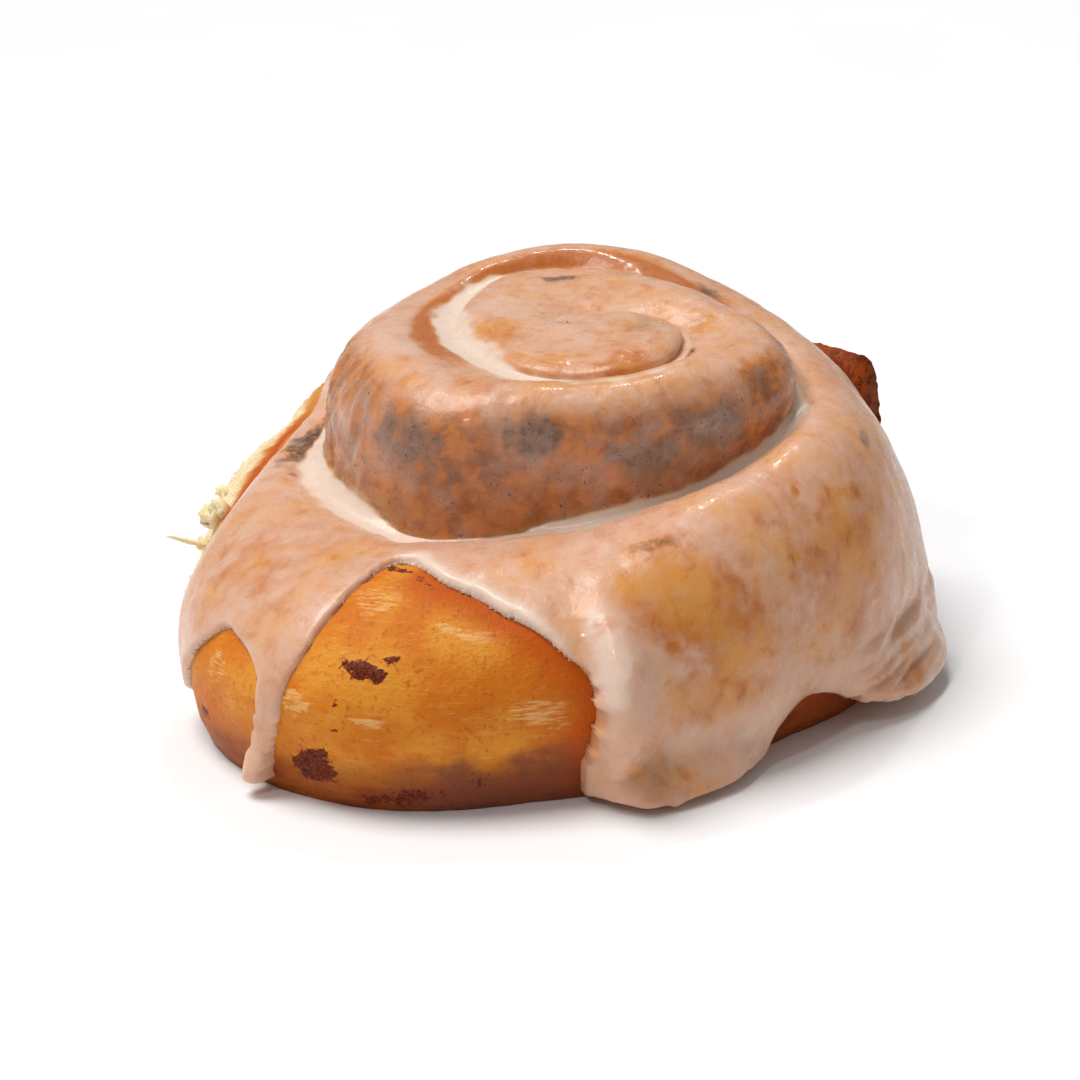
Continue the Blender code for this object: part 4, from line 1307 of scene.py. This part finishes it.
class Paint:
    """A node material under way."""

    def __init__(self, name):
        self.material = bpy.data.materials.new(name)
        self.material.use_nodes = True
        self.tree = self.material.node_tree
        self.shader = self.tree.nodes["Principled BSDF"]
        self.place = self.tree.nodes.new("ShaderNodeTexCoord").outputs["Object"]

    def put(self, node, settings):
        """Sets sockets by their names or numbers, or links them where the value is a socket."""
        for name, value in settings.items():
            socket = node.inputs[name.replace("_", " ") if isinstance(name, str) else name]
            if isinstance(value, bpy.types.NodeSocket):
                self.tree.links.new(value, socket)
            else:
                socket.default_value = value

    def make(self, kind, **settings):
        node = self.tree.nodes.new("ShaderNode" + kind)
        self.put(node, settings)
        return node

    def noise(self, pattern, place=None):
        size, detail, roughness, distortion = pattern
        node = self.make("TexNoise", Vector=place or self.place, Scale=1.0 / (size * MM), Detail=detail)
        self.put(node, {"Roughness": roughness, "Distortion": distortion})
        return node.outputs["Fac"]

    def attribute(self, name, output):
        node = self.make("Attribute")
        node.attribute_name = name
        return node.outputs[output]

    def mask(self, name):
        return self.attribute(name, "Fac")

    def strip(self, scale):
        """Place on the unrolled strip, squeezed so that waves are longer one way."""
        place = self.attribute("strip", "Vector")
        return self.make("Mapping", Vector=place, Scale=scale).outputs["Vector"]

    def maths(self, operation, first, second):
        node = self.make("Math")
        node.operation = operation
        self.put(node, {0: first, 1: second})
        return node.outputs[0]

    def add(self, first, second):
        return self.maths("ADD", first, second)

    def times(self, first, second):
        return self.maths("MULTIPLY", first, second)

    def between(self, value, low, high, first=0.0, second=1.0):
        """The value's place between two limits, as a smooth number from first to second."""
        node = self.make("MapRange", Value=value, From_Min=low, From_Max=high, To_Min=first, To_Max=second)
        node.interpolation_type = "SMOOTHSTEP"
        return node.outputs["Result"]

    def mix(self, share, first, second):
        node = self.make("Mix")
        node.data_type = "RGBA"
        first, second = (
            colour if isinstance(colour, bpy.types.NodeSocket) else (*colour, 1.0)
            for colour in (first, second)
        )
        self.put(node, {"Factor": share, MIX_FIRST: first, MIX_SECOND: second})
        return node.outputs[MIX_RESULT]

    def blend(self, value, span, first, second):
        """One colour turning into another over a span of the value."""
        low, high, most = span
        return self.mix(self.between(value, low, high, 0.0, most), first, second)

    def bump(self, height, shape):
        distance, strength = shape
        node = self.make("Bump", Height=height, Distance=distance * MM, Strength=strength)
        return node.outputs["Normal"]

    def soften(self, depth):
        names = ("Subsurface Weight", "Subsurface Radius", "Subsurface Scale")
        self.put(self.shader, dict(zip(names, depth)))

    def finish(self, colour, roughness, normal, **settings):
        self.put(self.shader, {"Base Color": colour, "Roughness": roughness, "Normal": normal})
        self.put(self.shader, settings)
        return self.material


def icing_crust(paint, broad, middle, small, flow):
    """What shows through thin icing: golden on the wrap, roasted on the drum, orange on the rim."""
    crust = paint.blend(broad, SOFT, GOLD_DEEP, GOLD_LIGHT)
    crust = paint.blend(flow, GOLD_RUNS_SPAN, crust, GOLD_RUNS)
    roast = paint.blend(middle, SOFT, ROAST_LIGHT, ROAST_DEEP)
    roast = paint.blend(flow, ROAST_RUNS_SPAN, roast, ROAST_RUNS)
    crust = paint.mix(paint.mask("wall"), crust, roast)
    crust = paint.mix(paint.mask("rim"), crust, RIM_BROWN)
    foot = paint.times(paint.mask("low_wall"), paint.between(small, *FOOT_PATCHES))
    return paint.mix(foot, crust, WALL_FOOT_TAN)


def cinnamon(paint, crust, middle, small):
    """Grey-brown clouds of cinnamon and dark spots of caramel under the icing, and painted shade in the
    caramel colour at the foot of the drum wall.
    """
    dust = paint.blend(small, WIDE, CLOUD_LIGHT, CLOUD_DEEP)
    cloud = paint.add(paint.mask("cloud"), paint.between(middle, *CLOUD_PATCHES))
    below = paint.mix(paint.between(cloud, *CLOUD_EDGE), crust, dust)
    # dark holds the caramel marks and the painted shade at the foot of the drum wall
    dark = paint.add(paint.mask("dark"), paint.between(small, *DARK_PATCHES))
    only_there = paint.between(paint.mask("dark"), *DARK_PLACES)
    dark = paint.times(paint.between(dark, *DARK_EDGE), only_there)
    return paint.mix(dark, below, CARAMEL_AND_SHADE)


def sugar_cover(paint, below, broad, middle, flow):
    """The sugar over what lies below it, uneven, whitest where it has pooled or run."""
    cover = paint.add(paint.mask("cover"), paint.between(middle, *COVER_MIDDLE))
    cover = paint.add(cover, paint.between(broad, *COVER_BROAD))
    cover = paint.add(cover, paint.between(flow, *COVER_FLOW))
    sugar = paint.mix(paint.mask("pool"), SUGAR, POOLED_SUGAR)
    sugar = paint.mix(paint.between(paint.mask("cover"), *THICK_EDGE), sugar, THICK_SUGAR)
    return paint.mix(paint.between(cover, 0.0, 1.0), below, sugar)


def add_specks(paint, colour, middle):
    """Dark specks of cinnamon in the icing of the drum."""
    fine = paint.noise(ICING_FINE)
    specks = paint.times(paint.between(fine, *SPECK_SPAN), paint.between(middle, *SPECK_PLACES))
    specks = paint.times(specks, paint.between(paint.mask("wall"), *SPECK_WALL))
    return paint.mix(specks, colour, SPECK)


def icing_material():
    paint = Paint("sugar_icing_glazed")
    broad = paint.noise(ICING_BROAD)
    middle = paint.noise(ICING_MIDDLE)
    small = paint.noise(ICING_SMALL)
    flow = paint.noise(ICING_FLOW, paint.strip(DOWN_THE_WALL))
    crust = icing_crust(paint, broad, middle, small, flow)
    below = cinnamon(paint, crust, middle, small)
    colour = add_specks(paint, sugar_cover(paint, below, broad, middle, flow), middle)
    height = paint.add(middle, paint.between(small, *ICING_GRAIN))
    normal = paint.bump(height, ICING_BUMP)
    roughness = paint.between(small, *ICING_GLOSS)
    paint.soften(ICING_DEPTH)
    return paint.finish(
        colour, roughness, normal,
        Specular_IOR_Level=ICING_SHINE,
        Coat_Weight=ICING_COAT,
        Coat_Roughness=ICING_COAT_GLOSS,
    )


def golden_crust(paint, small, bands):
    """Golden crust with orange mottling and pale fibres."""
    fibres = paint.noise(FIBRES, paint.strip(FIBRE_SCALE))
    crust = paint.blend(paint.noise(CRUST_BROAD), SOFT, CRUST_DEEP, CRUST_LIGHT)
    crust = paint.blend(bands, BAND_SPAN, crust, CRUST_BANDS)
    crust = paint.blend(paint.noise(SPOTS), SPOT_SPAN, crust, CRUST_SPOTS)
    crust = paint.blend(small, GRAIN_SPAN, crust, CRUST_GRAIN)
    return paint.blend(fibres, FIBRE_SPAN, crust, CRUST_FIBRES)


def crust_colour(paint, middle, small):
    """Crust with its pale streaks, redder near the icing and dark at the foot, partly from browning and
    partly painted shade where the wall faces down.
    """
    bands = paint.noise(BANDS, paint.strip(BAND_SCALE))
    flecks = paint.noise(FLECKS, paint.strip(FLECK_SCALE))
    pale = paint.add(paint.mask("pale"), paint.between(flecks, *PALE_PATCHES))
    crust = paint.blend(pale, PALE_SPAN, golden_crust(paint, small, bands), PALE_STREAKS)
    crust = paint.mix(paint.mask("near_edge"), crust, CRUST_BROWNED)
    # Darker foot: partly browning, partly painted shade where the wall faces down
    low = paint.times(paint.mask("low"), paint.between(bands, *FOOT_BANDS))
    crust = paint.mix(low, crust, CRUST_FOOT_BROWNED_AND_SHADED)
    film = paint.times(paint.mask("film"), paint.between(middle, *FILM_PATCHES))
    return paint.mix(film, crust, SYRUP_FILM)


def add_burnt_and_shade(paint, crust, small, fine):
    """Burnt marks with ragged edges, and painted shade in the same dark colours at the front foot of the
    crust.
    """
    burnt = paint.blend(fine, SOFT, BURNT_AND_SHADE_DEEP, BURNT_AND_SHADE_RED)
    ragged = paint.add(paint.mask("dark"), paint.between(small, *BURNT_PATCHES))
    ragged = paint.add(ragged, paint.between(fine, *BURNT_FRAY))
    only_there = paint.between(paint.mask("dark"), *BURNT_PLACES)
    ragged = paint.times(paint.between(ragged, *BURNT_EDGE), only_there)
    return paint.mix(ragged, crust, burnt)


def torn_colour(paint, middle, small, fine):
    """Pale crumb with golden skin near the icing and dark pores."""
    crumb = paint.blend(small, EVEN, CRUMB_DEEP, CRUMB_LIGHT)
    crumb = paint.blend(middle, CRUMB_GOLD_SPAN, crumb, CRUMB_GOLD)
    crumb = paint.mix(paint.mask("near_edge"), crumb, CRUMB_SKIN)
    return paint.blend(fine, PORE_SPAN, crumb, CRUMB_PORES)


def dough_material():
    paint = Paint("baked_dough_crust")
    middle = paint.noise(CRUST_MIDDLE)
    small = paint.noise(CRUST_SMALL)
    fine = paint.noise(CRUST_FINE)
    crust = add_burnt_and_shade(paint, crust_colour(paint, middle, small), small, fine)
    tail = paint.blend(middle, TAIL_SPAN, TAIL_LIGHT, TAIL_DEEP)
    tail = paint.blend(small, TAIL_SPOT_SPAN, tail, TAIL_SPOTS)
    colour = paint.mix(paint.mask("torn"), crust, torn_colour(paint, middle, small, fine))
    colour = paint.mix(paint.mask("tail"), colour, tail)
    height = paint.add(middle, paint.between(small, *CRUST_SMALL_GRAIN))
    height = paint.add(height, paint.between(fine, *CRUST_FINE_GRAIN))
    roughness = paint.between(middle, *CRUST_GLOSS)
    normal = paint.bump(height, CRUST_BUMP)
    paint.soften(CRUST_DEPTH)
    return paint.finish(colour, roughness, normal, Specular_IOR_Level=CRUST_SHINE)


def crumb_material():
    paint = Paint("torn_crumb")
    fine = paint.noise(CRUMB_FINE)
    colour = paint.blend(paint.noise(CRUST_SMALL), EVEN, TUFT_DEEP, TUFT_LIGHT)
    roughness = paint.between(fine, *CRUMB_GLOSS)
    normal = paint.bump(fine, CRUMB_BUMP)
    paint.soften(CRUMB_DEPTH)
    return paint.finish(colour, roughness, normal, Specular_IOR_Level=CRUMB_SHINE)


def filling_material():
    paint = Paint("cinnamon_filling_paste")
    fine = paint.noise(FILLING_FINE)
    colour = paint.blend(fine, SOFT, FILLING_DEEP, FILLING_LIGHT)
    roughness = paint.between(fine, *FILLING_GLOSS)
    return paint.finish(colour, roughness, paint.bump(fine, FILLING_BUMP))


def floor_material():
    paint = Paint("pale_floor")
    fine = paint.noise(FLOOR_PATTERN)
    colour = paint.mix(fine, FLOOR_GREY, FLOOR_WHITE)
    roughness = paint.between(fine, *FLOOR_GLOSS)
    return paint.finish(colour, roughness, paint.bump(fine, FLOOR_BUMP))


# Camera, light and floor

AIM = Vector((-0.0041, 0.0, 0.0246))
CAMERA_DISTANCE = 0.55
CAMERA_ELEVATION = 21.0
PIXELS_PER_MM = 6.1
PICTURE_SIZE = 1080
SENSOR = 36.0
LIGHT_AIM = Vector((0.0, 0.0, 0.03))
ROOM_LIGHT = 0.25
SUN_PLACE = (-0.36, 0.06, 1.0)
SUN_WIDTH = 34.0
SUN_POWER = 2.54
BACK_GLINT_PLACE = (0.05, 0.45, 0.75)
BACK_GLINT_POWER = 0.7
FRONT_GLINT_PLACE = (-0.25, -0.45, 0.55)
FRONT_GLINT_POWER = 0.6
GLINT_SIZE = 0.05
FLOOR_SIDE = 3.0
FLOOR_GREY = (0.92, 0.92, 0.92)
FLOOR_WHITE = (0.94, 0.94, 0.94)


def place_camera():
    camera = bpy.data.cameras.new("camera")
    camera.sensor_width = SENSOR
    camera.lens = PIXELS_PER_MM * CAMERA_DISTANCE / MM / PICTURE_SIZE * SENSOR
    holder = bpy.data.objects.new("camera", camera)
    rise = math.radians(CAMERA_ELEVATION)
    holder.location = AIM + Vector((0.0, -math.cos(rise), math.sin(rise))) * CAMERA_DISTANCE
    holder.rotation_euler = (AIM - holder.location).to_track_quat("-Z", "Y").to_euler()
    bpy.context.scene.collection.objects.link(holder)
    bpy.context.scene.camera = holder


def add_light(name, light, place, aim, power):
    light.energy = power
    holder = bpy.data.objects.new(name, light)
    holder.location = place
    holder.rotation_euler = (aim - Vector(place)).to_track_quat("-Z", "Y").to_euler()
    bpy.context.scene.collection.objects.link(holder)


def add_glint(name, place, power):
    light = bpy.data.lights.new(name, "AREA")
    light.shape = "DISK"
    light.size = GLINT_SIZE
    add_light(name, light, place, LIGHT_AIM, power)


def place_lights():
    """White surroundings, a wide soft light from above on the left, and small ones for glints."""
    world = bpy.data.worlds.new("white_room")
    bpy.context.scene.world = world
    world.use_nodes = True
    background = world.node_tree.nodes["Background"]
    background.inputs["Color"].default_value = (1.0, 1.0, 1.0, 1.0)
    background.inputs["Strength"].default_value = ROOM_LIGHT
    sun = bpy.data.lights.new("wide_light", "SUN")
    sun.angle = math.radians(SUN_WIDTH)
    add_light("wide_light", sun, SUN_PLACE, Vector(), SUN_POWER)
    add_glint("back_glint", BACK_GLINT_PLACE, BACK_GLINT_POWER)
    add_glint("front_glint", FRONT_GLINT_PLACE, FRONT_GLINT_POWER)


def place_floor(material):
    side = FLOOR_SIDE
    mesh = bpy.data.meshes.new("floor")
    corners = [(-side, -side, 0.0), (side, -side, 0.0), (side, side, 0.0), (-side, side, 0.0)]
    mesh.from_pydata(corners, [], [(0, 1, 2, 3)])
    mesh.materials.append(material)
    floor = bpy.data.objects.new("floor", mesh)
    bpy.context.scene.collection.objects.link(floor)


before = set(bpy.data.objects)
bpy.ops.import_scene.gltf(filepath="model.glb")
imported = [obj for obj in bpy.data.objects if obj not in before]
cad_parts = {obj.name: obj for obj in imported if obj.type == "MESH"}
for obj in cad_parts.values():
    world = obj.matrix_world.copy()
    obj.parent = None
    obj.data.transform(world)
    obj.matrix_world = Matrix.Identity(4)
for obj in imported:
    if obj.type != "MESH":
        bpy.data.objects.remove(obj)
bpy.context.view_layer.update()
bpy.context.scene.view_settings.view_transform = "Standard"
place_camera()
place_lights()
place_floor(floor_material())
icing_edge = build_icing(icing_material())
build_dough(dough_material(), icing_edge)
build_filling(filling_material())
build_tufts(crumb_material())
